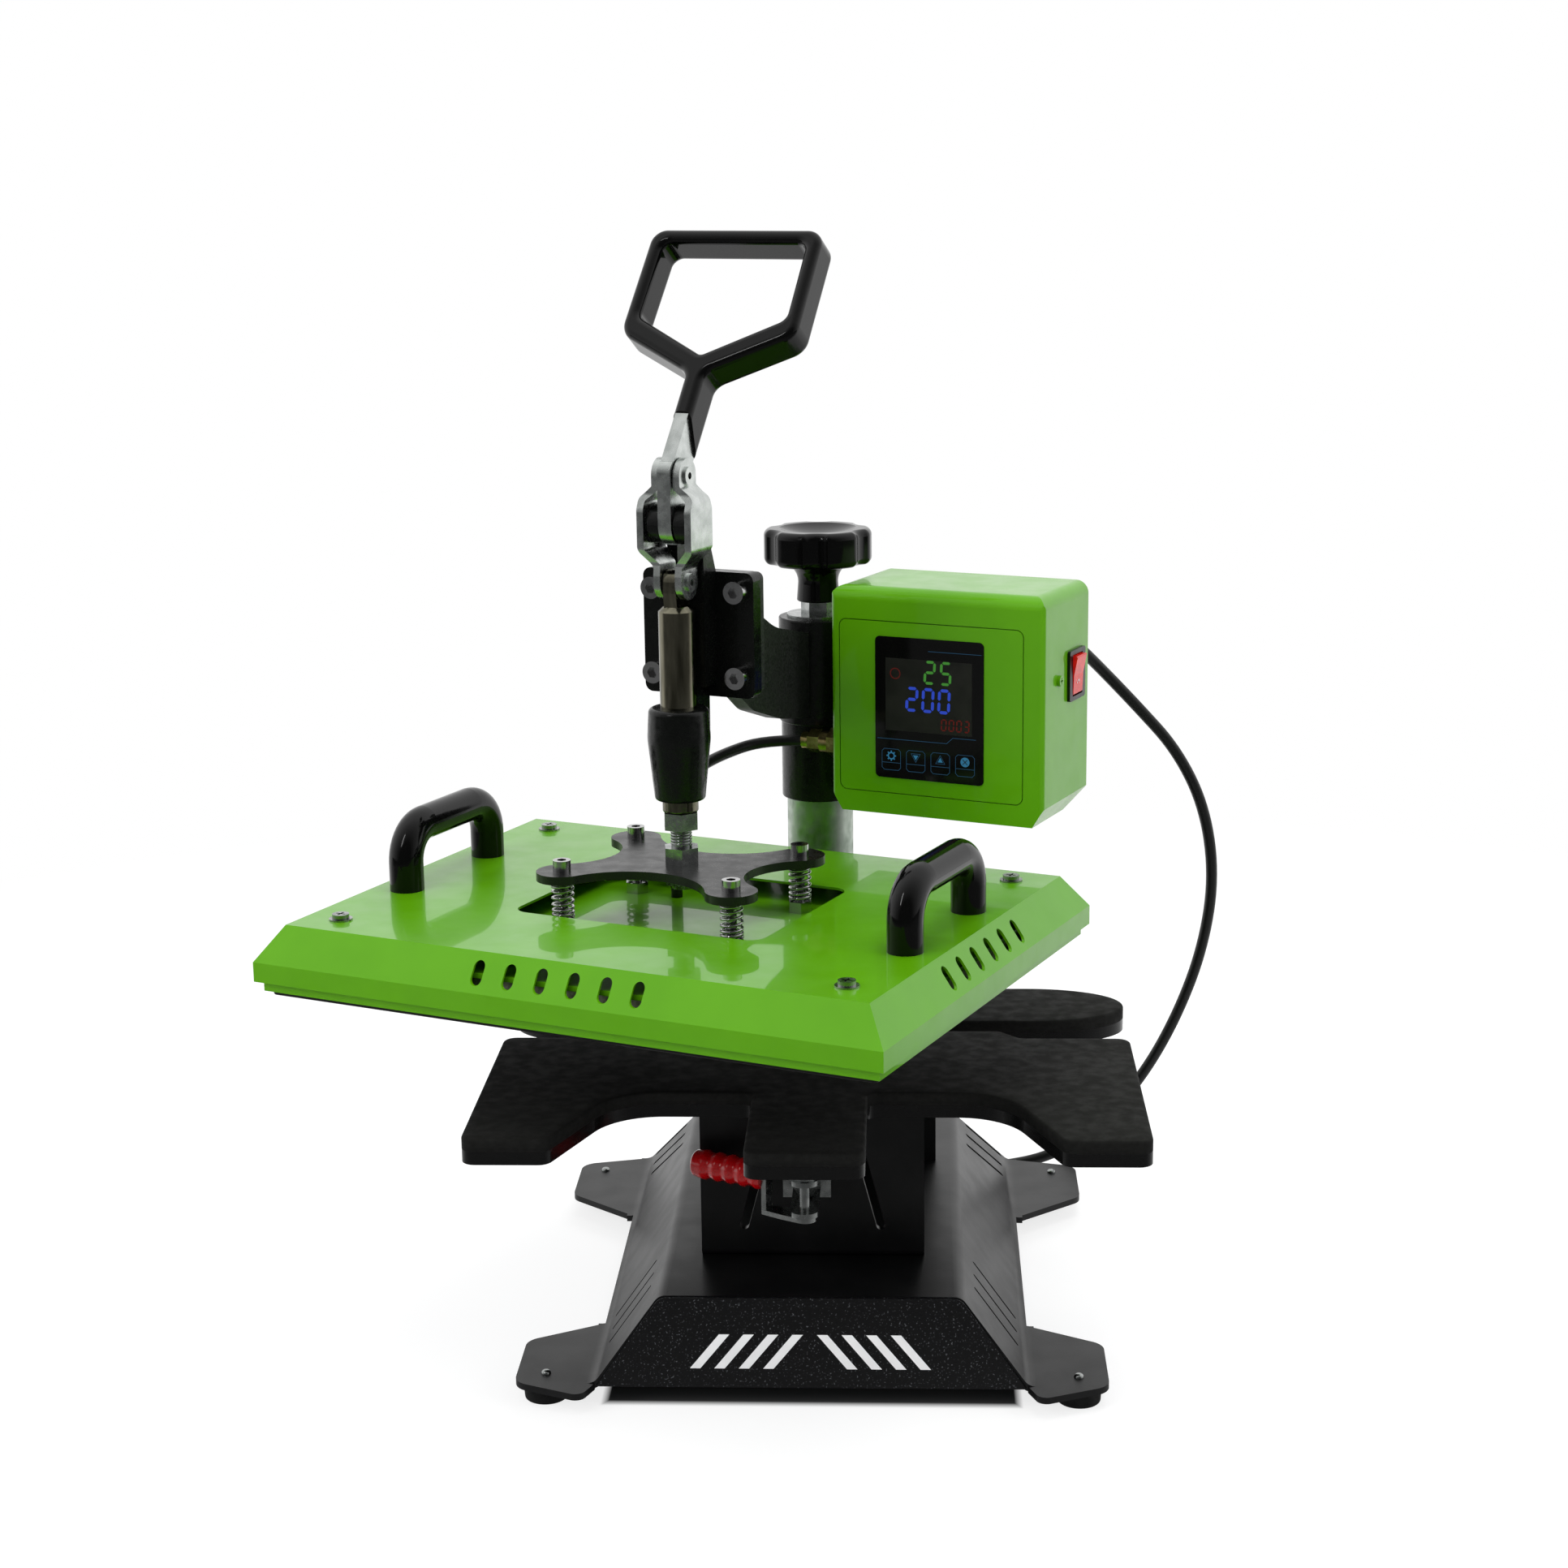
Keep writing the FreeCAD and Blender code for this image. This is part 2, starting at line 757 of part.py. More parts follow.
# Rear panel: a sheet along the slanting rear end, inside the tunnel
tunnel = slab("tunnel_space", "XZ", [[
    ("slope_half - fold_shift - slope_run", "tab_top"),
    ("top_half - fold_shift", "base_top - sheet_thick", "fold_radius - sheet_thick"),
    ("-top_half + fold_shift", "base_top - sheet_thick", "fold_radius - sheet_thick"),
    ("-slope_half + fold_shift + slope_run", "tab_top"),
]], "0", "rear_low")
slant = slab("slant_space", "YZ", [[
    ("rear_low - 6", "tab_top"),
    ("rear_low - 2", "tab_top"),
    ("rear_low - rear_run - 2", "base_top"),
    ("rear_low - rear_run - 6", "base_top"),
]], "-slope_half", "slope_half")
node("rear_panel", [common("rear_sheet", tunnel, slant)])

# Rubber feet and their screws, domed over the tabs
feet = []
foot_screws = []
for x in ("foot_x", "-foot_x"):
    for y in ("foot_y", "-foot_y"):
        foot = turned("foot", [
            ("foot_bore", "0"),
            ("foot_wide / 2 - foot_taper", "0", "1.5"),
            ("foot_wide / 2", "foot_high"),
            ("foot_screw + shaft_play", "foot_high"),
            ("foot_screw + shaft_play", "foot_seat"),
            ("foot_recess", "foot_seat"),
            ("foot_recess", "foot_bore_deep"),
            ("foot_bore", "foot_bore_deep"),
        ])
        feet.append(put(foot, x, y))
        screw = turned("foot_screw", [
            ("0", "foot_seat - foot_head_high"),
            ("foot_head", "foot_seat - foot_head_high", "1"),
            ("foot_head", "foot_seat"),
            ("foot_screw", "foot_seat"),
            ("foot_screw", "tab_top"),
            ("foot_screw + 0.9", "tab_top"),
            ("foot_screw + 0.9", "tab_top + 2.2", "2.1"),
            ("0", "tab_top + 2.2"),
        ])
        foot_screws.append(put(screw, x, y))
node("rubber_feet", feet)
node("foot_screws", foot_screws)

# Post with its foot flange, bolts through the base's top, and the screw plug inside
post = turned("post_body", [
    ("post_bore", "base_top"),
    ("flange_radius", "base_top", "1"),
    ("flange_radius", "flange_top", "1"),
    ("post_radius + post_weld", "flange_top"),
    ("post_radius", "flange_top + post_weld"),
    ("post_radius", "post_top"),
    ("post_bore", "post_top"),
])
put(post, "0", "post_back")
post_holes = []
base_bolts = []
for x in ("bolt_place", "-bolt_place"):
    for y in ("post_back + bolt_place", "post_back - bolt_place"):
        post_holes.append(rod("bolt_radius + shaft_play", "base_top - 1", "flange_top + 1", x, y))
        base_bolts.append(joined("base_bolt", [
            hexagon("bolt_across", "flange_top", "flange_top + bolt_head", x, y),
            rod("bolt_radius", "base_top - sheet_thick - 11", "flange_top + 1", x, y),
            hexagon("bolt_across", "base_top - sheet_thick - 6.5", "base_top - sheet_thick", x, y),
        ]))
node("post_tube", [cut("post_drilled", post, post_holes)])
node("base_bolts", base_bolts)
plug = cut("plug_body", rod("post_bore", "plug_low", "plug_low + plug_high", "0", "post_back"), [
    rod("screw_radius + shaft_play", "plug_low - 1", "plug_low + plug_high + 1", "0", "post_back")])
node("post_nut", [plug])

# Bridge bracket: one folded sheet, foot flange, front leg and top
bridge = slab("bridge_body", "YZ", [[
    ("bridge_y", "base_top", "bridge_thick"),
    ("bridge_y + bridge_flange", "base_top"),
    ("bridge_y + bridge_flange", "base_top + bridge_thick"),
    ("bridge_y + bridge_thick", "base_top + bridge_thick"),
    ("bridge_y + bridge_thick", "board_low - bridge_thick"),
    ("support_y + bridge_thick", "board_low - bridge_thick"),
    ("support_y + bridge_thick", "board_low"),
    ("bridge_y", "board_low", "bridge_thick"),
]], "-bridge_half", "bridge_half")
leg_slots = []
for side in ("", "-"):
    leg_slots.append(("slot", (side + "leg_slot_foot", "leg_slot_low"),
                      (side + "leg_slot_head", "leg_slot_high"), "leg_slot_half"))
pocket(bridge, "XZ", leg_slots, "bridge_y - 1", "bridge_y + 9")
pocket(bridge, "XZ", [("circle", "latch_x", "latch_z", "screw_radius + 0.5")],
       "bridge_y - 1", "bridge_y + 9")
board_screw_places = [(side + "board_screw_x", y) for side in ("", "-")
                      for y in ("board_screw_front", "board_screw_middle", "oval_y")]
pocket(bridge, "XY", [("circle", x, y, "board_screw_radius + shaft_play") for x, y in board_screw_places],
       "board_low - 9", "board_low")
node("bridge_bracket", [bridge])
support = slab("support_body", "XZ", [[
    ("-support_half", "base_top"),
    ("support_half", "base_top"),
    ("support_half", "board_low - bridge_thick", "board_corner"),
    ("-support_half", "board_low - bridge_thick", "board_corner"),
]], "support_y", "support_y + bridge_thick")
node("rear_support", [support])

# Butterfly board and its pad share one outline
fly_right = [
    ("fly_nose_half", "fly_nose_y", "board_corner"),
    ("fly_nose_half", "fly_cut_y", "6"),
    ("fly_cut_half", "fly_cut_y", "fly_cut_radius"),
    ("fly_wing", "fly_front", "board_corner"),
    ("fly_half", "fly_front", "board_corner"),
    ("fly_half", "fly_rear", "board_corner"),
    ("fly_neck_half + fly_step", "fly_rear", "6"),
    ("fly_neck_half", "fly_neck_rear", "6"),
]
fly_left = [("-(%s)" % x, y, radius) for x, y, radius in reversed(fly_right)]
fly_board = slab("fly_board", "XY", [fly_right + fly_left], "board_low", "pad_low")
fly_screws = [place for place in board_screw_places if place[1] != "oval_y"]
pocket(fly_board, "XY", [("circle", x, y, "board_screw_radius + shaft_play") for x, y in fly_screws],
       "board_low", "board_low + 5")
node("butterfly_board", [fly_board])
node("butterfly_pad", [slab("fly_pad", "XY", [fly_right + fly_left], "pad_low", "pad_top")])


def oval(low, top):
    """The oval board's outline between two levels: straight sides, elliptical ends."""
    pieces = [block("-oval_straight", "oval_straight",
                    "oval_y - oval_half", "oval_y + oval_half", low, top)]
    for x in ("oval_straight", "-oval_straight"):
        rim = doc.addObject("Part::Ellipse", "oval_rim")
        rim.setExpression("MajorRadius", bound("oval_end"))
        rim.setExpression("MinorRadius", bound("oval_half"))
        put(rim, x, "oval_y", low)
        end = doc.addObject("Part::Extrusion", "oval_round")
        end.Base = rim
        end.Dir = Vector(0, 0, 1)
        end.Solid = True
        end.setExpression("LengthFwd", bound("(%s) - (%s)" % (top, low)))
        pieces.append(end)
    return joined("oval_piece", pieces)


oval_holes = [rod("board_screw_radius + shaft_play", "board_low - 1", "board_low + 5", x, y)
              for x, y in board_screw_places if y == "oval_y"]
node("oval_board", [cut("oval_board_piece", oval("board_low", "pad_low"), oval_holes)])
node("oval_pad", [oval("pad_low", "pad_top")])
board_screws = []
for x, y in board_screw_places:
    board_screws.append(joined("board_screw", [
        rod("board_screw_radius", "board_low - bridge_thick - 1", "board_low + 4.9", x, y),
        rod("4.5", "board_low - bridge_thick - 3", "board_low - bridge_thick", x, y),
    ]))
node("board_screws", board_screws)

# Latch body: a sheet bracket on the front leg with two cheeks and a bored boss
latch_plate = block("latch_x - 14", "latch_x + 14", "bridge_y - 3", "bridge_y",
                    "latch_z - 15", "latch_z + 15")
cheek_side = [
    ("latch_x - 8", "bridge_y - 3"),
    ("latch_x + 8", "bridge_y - 3"),
    ("latch_x + 8", "latch_y - 8", "7"),
    ("latch_x - 8", "latch_y - 8", "7"),
]
cheeks = []
for low in ("latch_z - 11", "latch_z + 8"):
    cheeks.append(slab("latch_cheek", "XY", [cheek_side], low, low + " + 3"))
boss = rod("9", "bridge_y - 14", "bridge_y - 2", "latch_x", "latch_z", "Y")
latch_frame = joined("latch_frame", [latch_plate, boss] + cheeks)
node("latch_body", [cut("latch_bracket", latch_frame, [
    rod("latch_bolt + shaft_play", "bridge_y - 20", "bridge_y + 1", "latch_x", "latch_z", "Y"),
    rod("latch_pin + shaft_play", "latch_z - 20", "latch_z + 20", "latch_x", "latch_y"),
])])


def latch_swung(made):
    """Turns a latch handle piece about the latch's upright pin."""
    made.Placement = Placement(Vector(value("latch_x"), value("latch_y"), 0),
                               Rotation(Vector(0, 0, 1), -value("latch_turn")))
    made.setExpression("Placement.Rotation.Angle", bound("-latch_turn"))
    made.setExpression("Placement.Base.x", bound("latch_x"))
    made.setExpression("Placement.Base.y", bound("latch_y"))
    return made


# Latch handle: two arms outside the cheeks, their pin and the bar into the grip
arm_outline = [
    ("7", "-7", "6.5"),
    ("7", "7", "6.5"),
    ("-12", "6"),
    ("-26", "4"),
    ("-26", "-4"),
    ("-12", "-6"),
]
latch_arms = []
for low in ("latch_z - 14", "latch_z + 11"):
    latch_arms.append(slab("latch_arm", "XY", [arm_outline], low, low + " + latch_arm_thick"))
latch_arms.append(rod("latch_pin", "latch_z - 15.5", "latch_z + 15.5"))
latch_arms.append(block("-26", "-23", "-4", "4", "latch_z - 14", "latch_z + 11 + latch_arm_thick"))
latch_arms.append(block("latch_bar_stop", "-23", "-latch_bar_half", "latch_bar_half",
                        "latch_grip_z - latch_bar_high", "latch_grip_z + latch_bar_high"))
node("latch_handle", [latch_swung(joined("latch_handle_piece", latch_arms))])
grip_pitch = 8.5
ribs = [("0", "grip_end"), ("7.6", "grip_end", "2.5")]
for number in range(4):
    ribs.append(("grip_wave", "%g" % (-64 + grip_pitch * number), "3"))
    ribs.append(("grip_wave - 1.7", "%g" % (-64 + grip_pitch * (number + 0.5)), "3"))
ribs += [("grip_wave", "-29", "2"), ("7.5", "grip_start", "1"), ("0", "grip_start")]
grip_core = turned("latch_grip_core", ribs)
put(grip_core, "0", "0", "latch_grip_z", TURNS["X"])
grip = cut("latch_grip_piece", grip_core, [
    block("latch_bar_stop", "-20", "-latch_bar_half", "latch_bar_half",
          "latch_grip_z - latch_bar_high", "latch_grip_z + latch_bar_high")])
node("latch_grip", [latch_swung(grip)])
plunger_pin = joined("latch_pin", [
    rod("latch_bolt", "bridge_y - 24", "bridge_y + 12", "latch_x", "latch_z", "Y"),
    hexagon("13", "bridge_y - 23", "bridge_y - 16", "latch_x", "latch_z", "Y"),
])
node("latch_plunger", [plunger_pin])

# Guide bush, which slides in the post and carries the head, and its thrust washer
bush = turned("bush_body", [
    ("screw_radius + 0.4", "bush_low"),
    ("post_bore - shaft_play", "bush_low"),
    ("post_bore - shaft_play", "bush_flange_low"),
    ("sleeve_bore - shaft_play", "bush_flange_low"),
    ("sleeve_bore - shaft_play", "bush_flange_top"),
    ("bush_radius", "bush_flange_top"),
    ("bush_radius", "hub_top"),
    ("screw_radius + 0.4", "hub_top"),
])
node("guide_bush", [put(bush, "0", "post_back")])
washer = cut("washer_body",
             rod("bush_radius", "hub_top", "hub_top + washer_thick", "0", "post_back"),
             [rod("screw_radius + 0.4", "hub_top - 1", "hub_top + 9", "0", "post_back")])
node("thrust_washer", [washer])

# Swing sleeve: slim lower part over the post, thicker hub above
sleeve = turned("sleeve_body", [
    ("sleeve_bore", "sleeve_low"),
    ("sleeve_radius", "sleeve_low", "1"),
    ("sleeve_radius", "hub_low"),
    ("hub_radius", "hub_low", "1"),
    ("hub_radius", "hub_top - 0.1", "1"),
    ("bush_radius + shaft_play", "hub_top - 0.1"),
    ("bush_radius + shaft_play", "bush_flange_top"),
    ("sleeve_bore", "bush_flange_top"),
])
node("swing_sleeve", [put(sleeve, "0", "post_back")], True)

# Head arm: upright plate welded to the hub, with the end plate the casting is screwed to
arm_side = [
    ("arm_front", "end_top - 3"),
    ("arm_dip_y", "arm_dip_z", "60"),
    ("post_back", "arm_post_top"),
    ("post_back", "hub_low + 1"),
    ("arm_root_y", "arm_root_z", "30"),
    ("arm_belly_y", "arm_belly_z", "30"),
    ("arm_chin_y", "arm_chin_z", "20"),
    ("arm_front", "end_low + 0.5"),
]
arm_plate = slab("arm_plate", "YZ", [arm_side], "-arm_half", "arm_half")
end_plate = slab("end_plate", "XZ", [[
    ("-end_half + 2", "end_low + 1.5", "4"),
    ("end_half - 2", "end_low + 1.5", "4"),
    ("end_half - 2", "end_top - 1.5", "4"),
    ("-end_half + 2", "end_top - 1.5", "4"),
]], "arm_front", "arm_front + end_plate_thick")
screw_places = []
for x in ("flange_screw_x", "-flange_screw_x"):
    for z in ("flange_screw_low", "flange_screw_high"):
        screw_places.append((x, z))
arm_cuts = [rod("hub_radius", "sleeve_low", "hub_top + 30", "0", "post_back")]
for x, z in screw_places:
    arm_cuts.append(
        rod("4 + shaft_play", "arm_front - 1", "arm_front + end_plate_thick + 1", x, z, "Y"))
node("head_arm", [cut("arm_piece", joined("arm_blank", [arm_plate, end_plate]), arm_cuts)], True)

# Toggle casting: flange, barrel, web between them and the two ears
flange = slab("casting_flange", "XZ", [[
    ("-end_half", "end_low", "5"),
    ("end_half", "end_low", "5"),
    ("end_half", "end_top", "5"),
    ("-end_half", "end_top", "5"),
]], "flange_y", "arm_front")
barrel = turned("casting_barrel", [
    ("0", "barrel_low"),
    ("barrel_foot", "barrel_low", "2"),
    ("barrel_bead", "barrel_top - 18", "30"),
    ("barrel_radius", "barrel_top", "3"),
    ("0", "barrel_top"),
])
put(barrel, "0", "press_y")
web = slab("casting_web", "YZ", [[
    ("flange_y + 1", "barrel_low + 30"),
    ("flange_y + 1", "end_top - 6"),
    ("web_y", "end_top - 6"),
    ("web_y", "barrel_top - 3"),
    ("press_y + 9", "barrel_top - 3"),
    ("press_y + 9", "barrel_low + 8"),
    ("web_y + 3", "barrel_low + 8"),
]], "-ear_inner - 1", "ear_inner + 1")
cheek_side = [
    ("flange_y + 1", "end_low + 8"),
    ("flange_y + 1", "end_top - 1"),
    ("press_y + ear_radius", "pivot_z + ear_radius", "ear_radius - 0.1"),
    ("press_y - ear_radius", "pivot_z + ear_radius", "ear_radius - 0.1"),
    ("press_y - ear_radius", "pivot_z - ear_radius", "ear_radius - 0.1"),
    ("web_y", "pivot_z - ear_radius", "3"),
    ("web_y", "end_low + 8"),
]
ears = []
for start, stop in (("ear_inner", "ear_outer"), ("-ear_outer", "-ear_inner")):
    ears.append(slab("casting_ear", "YZ", [cheek_side], start, stop))
casting_cuts = [
    rod("plunger_radius + shaft_play", "barrel_low - 1", "barrel_top + 1", "0", "press_y"),
    rod("pivot_radius", "-end_half", "end_half", "press_y", "pivot_z", "X"),
]
for x, z in screw_places:
    casting_cuts.append(rod("4 + shaft_play", "flange_y - 1", "arm_front + 1", x, z, "Y"))
    casting_cuts.append(rod("7.2", "web_y", "flange_y", x, z, "Y"))
casting = cut("casting_piece", joined("casting_blank", [flange, barrel, web] + ears), casting_cuts)
node("toggle_casting", [casting], True)


def socket_screw(radius, head, high, across, along, face, stop):
    """A socket screw along Y with its head ahead of the face."""
    blank = joined("screw_blank", [
        rod(head, "(%s) - (%s)" % (face, high), face, across, along, "Y"),
        rod(radius, "(%s) - 1" % face, stop, across, along, "Y"),
    ])
    socket = hexagon("(%s) * 1.5" % radius, "(%s) - (%s) - 1" % (face, high),
                     "(%s) - (%s) / 2" % (face, high), across, along, "Y")
    return cut("screw", blank, [socket])


node("flange_screws", [
    socket_screw("4", "6.5", "8", x, z, "flange_y", "arm_front + end_plate_thick + 3")
    for x, z in screw_places], True)
pivot = cut("pivot_piece", joined("pivot_blank", [
    rod("pivot_radius", "-ear_outer - 0.7", "ear_outer + 0.7", "press_y", "pivot_z", "X"),
    rod("pivot_radius + 1.8", "ear_outer", "ear_outer + 0.7", "press_y", "pivot_z", "X"),
    rod("pivot_radius + 1.8", "-ear_outer - 0.7", "-ear_outer", "press_y", "pivot_z", "X"),
]), [rod("2.2", "-ear_outer - 1", "ear_outer + 1", "press_y", "pivot_z", "X")])
node("pivot_rivet", [pivot], True)

# Handle strips: two flat strips side by side, bent back above the crank pin
strip_parts = []
for start, stop in (("0", "strip_thick"), ("-strip_thick", "0")):
    lower = slab("strip_lower", "YZ", [[
        ("press_y - strip_half", "pivot_z - strip_half", "strip_half - 0.1"),
        ("press_y + strip_half", "pivot_z - strip_half", "strip_half - 0.1"),
        ("press_y + strip_half", "bend_z - 2", "3"),
        ("press_y + lean_half - 2", "bend_z + 4", "3"),
        ("press_y - lean_half + 2", "bend_z + 8", "3"),
        ("press_y - strip_half", "bend_z + 4", "6"),
    ]], start, stop)
    upper = slab("strip_upper", "YZ", [[
        ("-lean_half", "-4", "2"),
        ("lean_half", "-4", "2"),
        ("lean_half", "loop_crotch - 6"),
        ("-lean_half", "loop_crotch - 6"),
    ]], start, stop)
    put(upper, "0", "press_y", "bend_z", Rotation(Vector(-1, 0, 0), value("lean")))
    upper.setExpression("Placement.Rotation.Angle", bound("lean"))
    strip_parts.append(cut("strip", joined("strip_blank", [lower, upper]), [
        rod("pivot_radius + shaft_play", "-9", "9", "press_y", "pivot_z", "X"),
        rod("pin_radius + shaft_play", "-9", "9", "press_y", "crank_z", "X"),
    ]))
node("handle_strips", strip_parts, True)

# Handle grip: the dipped loop, drawn upright and then leant back
loop_outer = [
    ("loop_neck", "dip_rear"),
    ("loop_neck", "loop_crotch - 5", "9"),
    ("loop_low_half + loop_band / 2", "loop_low - 6", "12"),
    ("loop_top_half + loop_band / 2", "loop_top + loop_band / 2", "10"),
]
loop_inner = [
    ("0", "loop_crotch + 6.5", "5"),
    ("loop_low_half - loop_band / 2", "loop_low + 5", "7"),
    ("loop_top_half - loop_band / 2", "loop_top - loop_band / 2", "6"),
]
outer_left = [("-(%s)" % item[0],) + item[1:] for item in reversed(loop_outer)]
inner_left = [("-(%s)" % item[0],) + item[1:] for item in reversed(loop_inner[1:])]
loop = slab("loop_body", "XZ", [loop_outer + outer_left, loop_inner + inner_left],
            "-loop_half_wide", "loop_half_wide")
rounded(loop, "loop_rim", lambda edge: abs(abs(edge.CenterOfMass.y) - value("loop_half_wide")) < 0.01)
pocket(loop, "YZ", [[
    ("-loop_half_wide - 1", "dip_rear - 3"),
    ("loop_half_wide + 1", "dip_rear - 3"),
    ("loop_half_wide + 1", "dip_rear"),
    ("-loop_half_wide - 1", "dip_front"),
]], "-loop_neck - 1", "loop_neck + 1")
pocket(loop, "YZ", [[
    ("-lean_half", "dip_rear - 4"),
    ("lean_half", "dip_rear - 4"),
    ("lean_half", "loop_crotch - 6"),
    ("-lean_half", "loop_crotch - 6"),
]], "-strip_thick", "strip_thick")
put(loop, "0", "press_y", "bend_z", Rotation(Vector(-1, 0, 0), value("lean")))
loop.setExpression("Placement.Rotation.Angle", bound("lean"))
node("handle_grip", [loop], True)

# Link plates: bulged outwards round the ears, with round eyes
link_front = slab("link_run", "XZ", [[
    ("link_inner", "low_pin_z - 12"),
    ("link_inner + link_thick", "low_pin_z - 12"),
    ("link_inner + link_thick", "low_pin_z + 9", "4"),
    ("link_spread + link_thick", "low_pin_z + 18", "6"),
    ("link_spread + link_thick", "crank_z - 12.5", "5"),
    ("link_inner + link_thick", "crank_z - 5.6", "2"),
    ("link_inner + link_thick", "crank_z + 12"),
    ("link_inner", "crank_z + 12"),
    ("link_inner", "crank_z - 7.2", "2"),
    ("link_spread", "crank_z - 14", "3"),
    ("link_spread", "low_pin_z + 19", "3"),
    ("link_inner", "low_pin_z + 10.5", "3"),
]], "press_y - 20", "press_y + 20")
link_outline = slab("link_outline", "YZ", [[
    ("press_y - eye_radius", "crank_z + eye_radius", "eye_radius - 0.1"),
    ("press_y - eye_radius", "crank_z - 4", "4"),
    ("press_y - link_neck", "crank_z - 10", "4"),
    ("press_y - link_bulge", "crank_z - 19", "6"),
    ("press_y - link_bulge", "low_pin_z + 20", "6"),
    ("press_y - link_neck", "low_pin_z + 11", "4"),
    ("press_y - eye_radius", "low_pin_z + 4", "4"),
    ("press_y - eye_radius", "low_pin_z - eye_radius", "eye_radius - 0.1"),
    ("press_y + eye_radius", "low_pin_z - eye_radius", "eye_radius - 0.1"),
    ("press_y + eye_radius", "low_pin_z + 4", "4"),
    ("press_y + link_neck", "low_pin_z + 11", "4"),
    ("press_y + link_bulge", "low_pin_z + 20", "6"),
    ("press_y + link_bulge", "crank_z - 19", "6"),
    ("press_y + link_neck", "crank_z - 10", "4"),
    ("press_y + eye_radius", "crank_z - 4", "4"),
    ("press_y + eye_radius", "crank_z + eye_radius", "eye_radius - 0.1"),
]], "0", "30")
link_right = cut("link_right", common("link_plate", link_front, link_outline), [
    rod("pin_radius", "0", "30", "press_y", "crank_z", "X"),
    rod("pin_radius", "0", "30", "press_y", "low_pin_z", "X"),
])
node("link_plates", [link_right, mirrored(link_right, "x")], True)
upper_pin = cut("upper_pin", joined("upper_pin_blank", [
    rod("pin_radius", "-link_inner - link_thick - 1.5", "link_inner + link_thick + 1.5",
        "press_y", "crank_z", "X"),
    rod("pin_radius + 1.2", "link_inner + link_thick", "link_inner + link_thick + 1.5",
        "press_y", "crank_z", "X"),
    rod("pin_radius + 1.2", "-link_inner - link_thick - 1.5", "-link_inner - link_thick",
        "press_y", "crank_z", "X"),
]), [rod("2", "-20", "20", "press_y", "crank_z", "X")])
lower_pin = cut("lower_pin", joined("lower_pin_blank", [
    rod("pin_radius", "link_inner", "link_inner + link_thick + 1.5", "press_y", "low_pin_z", "X"),
    rod("pin_radius + 1.2", "link_inner + link_thick", "link_inner + link_thick + 1.5",
        "press_y", "low_pin_z", "X"),
]), [rod("2", "0", "20", "press_y", "low_pin_z", "X")])
node("link_rivets", [upper_pin, lower_pin, mirrored(lower_pin, "x")], True)

# Plunger: round rod with a flat tongue that the links grip
plunger_round = turned("plunger_round", [
    ("0", "plunger_low"),
    ("plunger_radius", "plunger_low", "1.5"),
    ("plunger_radius", "plunger_shoulder - 3"),
    ("plunger_radius - 3", "plunger_shoulder"),
    ("0", "plunger_shoulder"),
])
put(plunger_round, "0", "press_y")
tongue = slab("tongue", "YZ", [[
    ("press_y - 7", "plunger_shoulder - 6"),
    ("press_y + 7", "plunger_shoulder - 6"),
    ("press_y + 7", "plunger_shoulder"),
    ("press_y + 8", "low_pin_z - 6", "3"),
    ("press_y + 8", "tongue_top", "6.5"),
    ("press_y - 8", "tongue_top", "6.5"),
    ("press_y - 8", "low_pin_z - 6", "3"),
    ("press_y - 7", "plunger_shoulder"),
]], "-strip_thick", "strip_thick")
plunger = cut("plunger_piece", joined("plunger_blank", [plunger_round, tongue]), [
    rod("screw_radius", "plunger_low - 1", "plunger_low + 21", "0", "press_y")])
node("plunger_rod", [plunger], True)
stud = joined("stud_piece", [
    rod("screw_radius", "spider_low - 10", "plunger_low + 20", "0", "press_y"),
    hexagon("nut_across", "spider_low - 7", "spider_low", "0", "press_y"),
    hexagon("nut_across", "spider_top", "spider_top + stud_nut_high", "0", "press_y"),
    hexagon("nut_across", "plunger_low - stud_nut_high", "plunger_low", "0", "press_y"),
])
node("plunger_stud", [stud], True)

# Spider plate: four lobes round the spring bolts, hollow sides between them
front_hollow = value("front_hollow")
side_hollow = value("side_hollow")
lobe_x = value("spring_x")
lobe_y = value("spring_y")
lobe = value("lobe_radius")


def hollow_arc(centre, radius, start, middle, stop):
    """An arc of the spider's outline through three bearings about a centre."""
    spots = [centre + Vector(math.cos(turn), math.sin(turn), 0) * radius
             for turn in (start, middle, stop)]
    return Part.Arc(*spots).toShape()


front_centre = Vector(0, -(lobe_y + math.sqrt(max((front_hollow + lobe) ** 2 - lobe_x ** 2, 1))), 0)
side_centre = Vector(lobe_x + math.sqrt(max((side_hollow + lobe) ** 2 - lobe_y ** 2, 1)), 0, 0)
corner = Vector(lobe_x, -lobe_y, 0)
front_touch = math.atan2(corner.y - front_centre.y, corner.x - front_centre.x)
side_touch = math.atan2(corner.y - side_centre.y, corner.x - side_centre.x)
quarter = math.pi / 2
edges = [
    hollow_arc(front_centre, front_hollow, quarter, (quarter + front_touch) / 2, front_touch),
    hollow_arc(corner, lobe, front_touch - math.pi, -math.pi / 4, side_touch + math.pi),
    hollow_arc(side_centre, side_hollow, side_touch, (side_touch - math.pi) / 2, -math.pi),
]
half = Part.Wire(Part.__sortEdges__(
    edges + [edge.mirror(Vector(), Vector(0, 1, 0)) for edge in edges]))
whole = Part.Wire(Part.__sortEdges__(
    half.Edges + [edge.mirror(Vector(), Vector(1, 0, 0)) for edge in half.Edges]))
spider_solid = Part.Face(whole).extrude(Vector(0, 0, value("spider_thick")))
spider = put(feature("spider_blank", spider_solid), "0", "press_y", "spider_low")
spider_holes = [rod("screw_radius", "spider_low - 1", "spider_top + 1", "0", "press_y")]
bolt_places = []
for x in ("spring_x", "-spring_x"):
    for y in ("press_y + spring_y", "press_y - spring_y"):
        bolt_places.append((x, y))
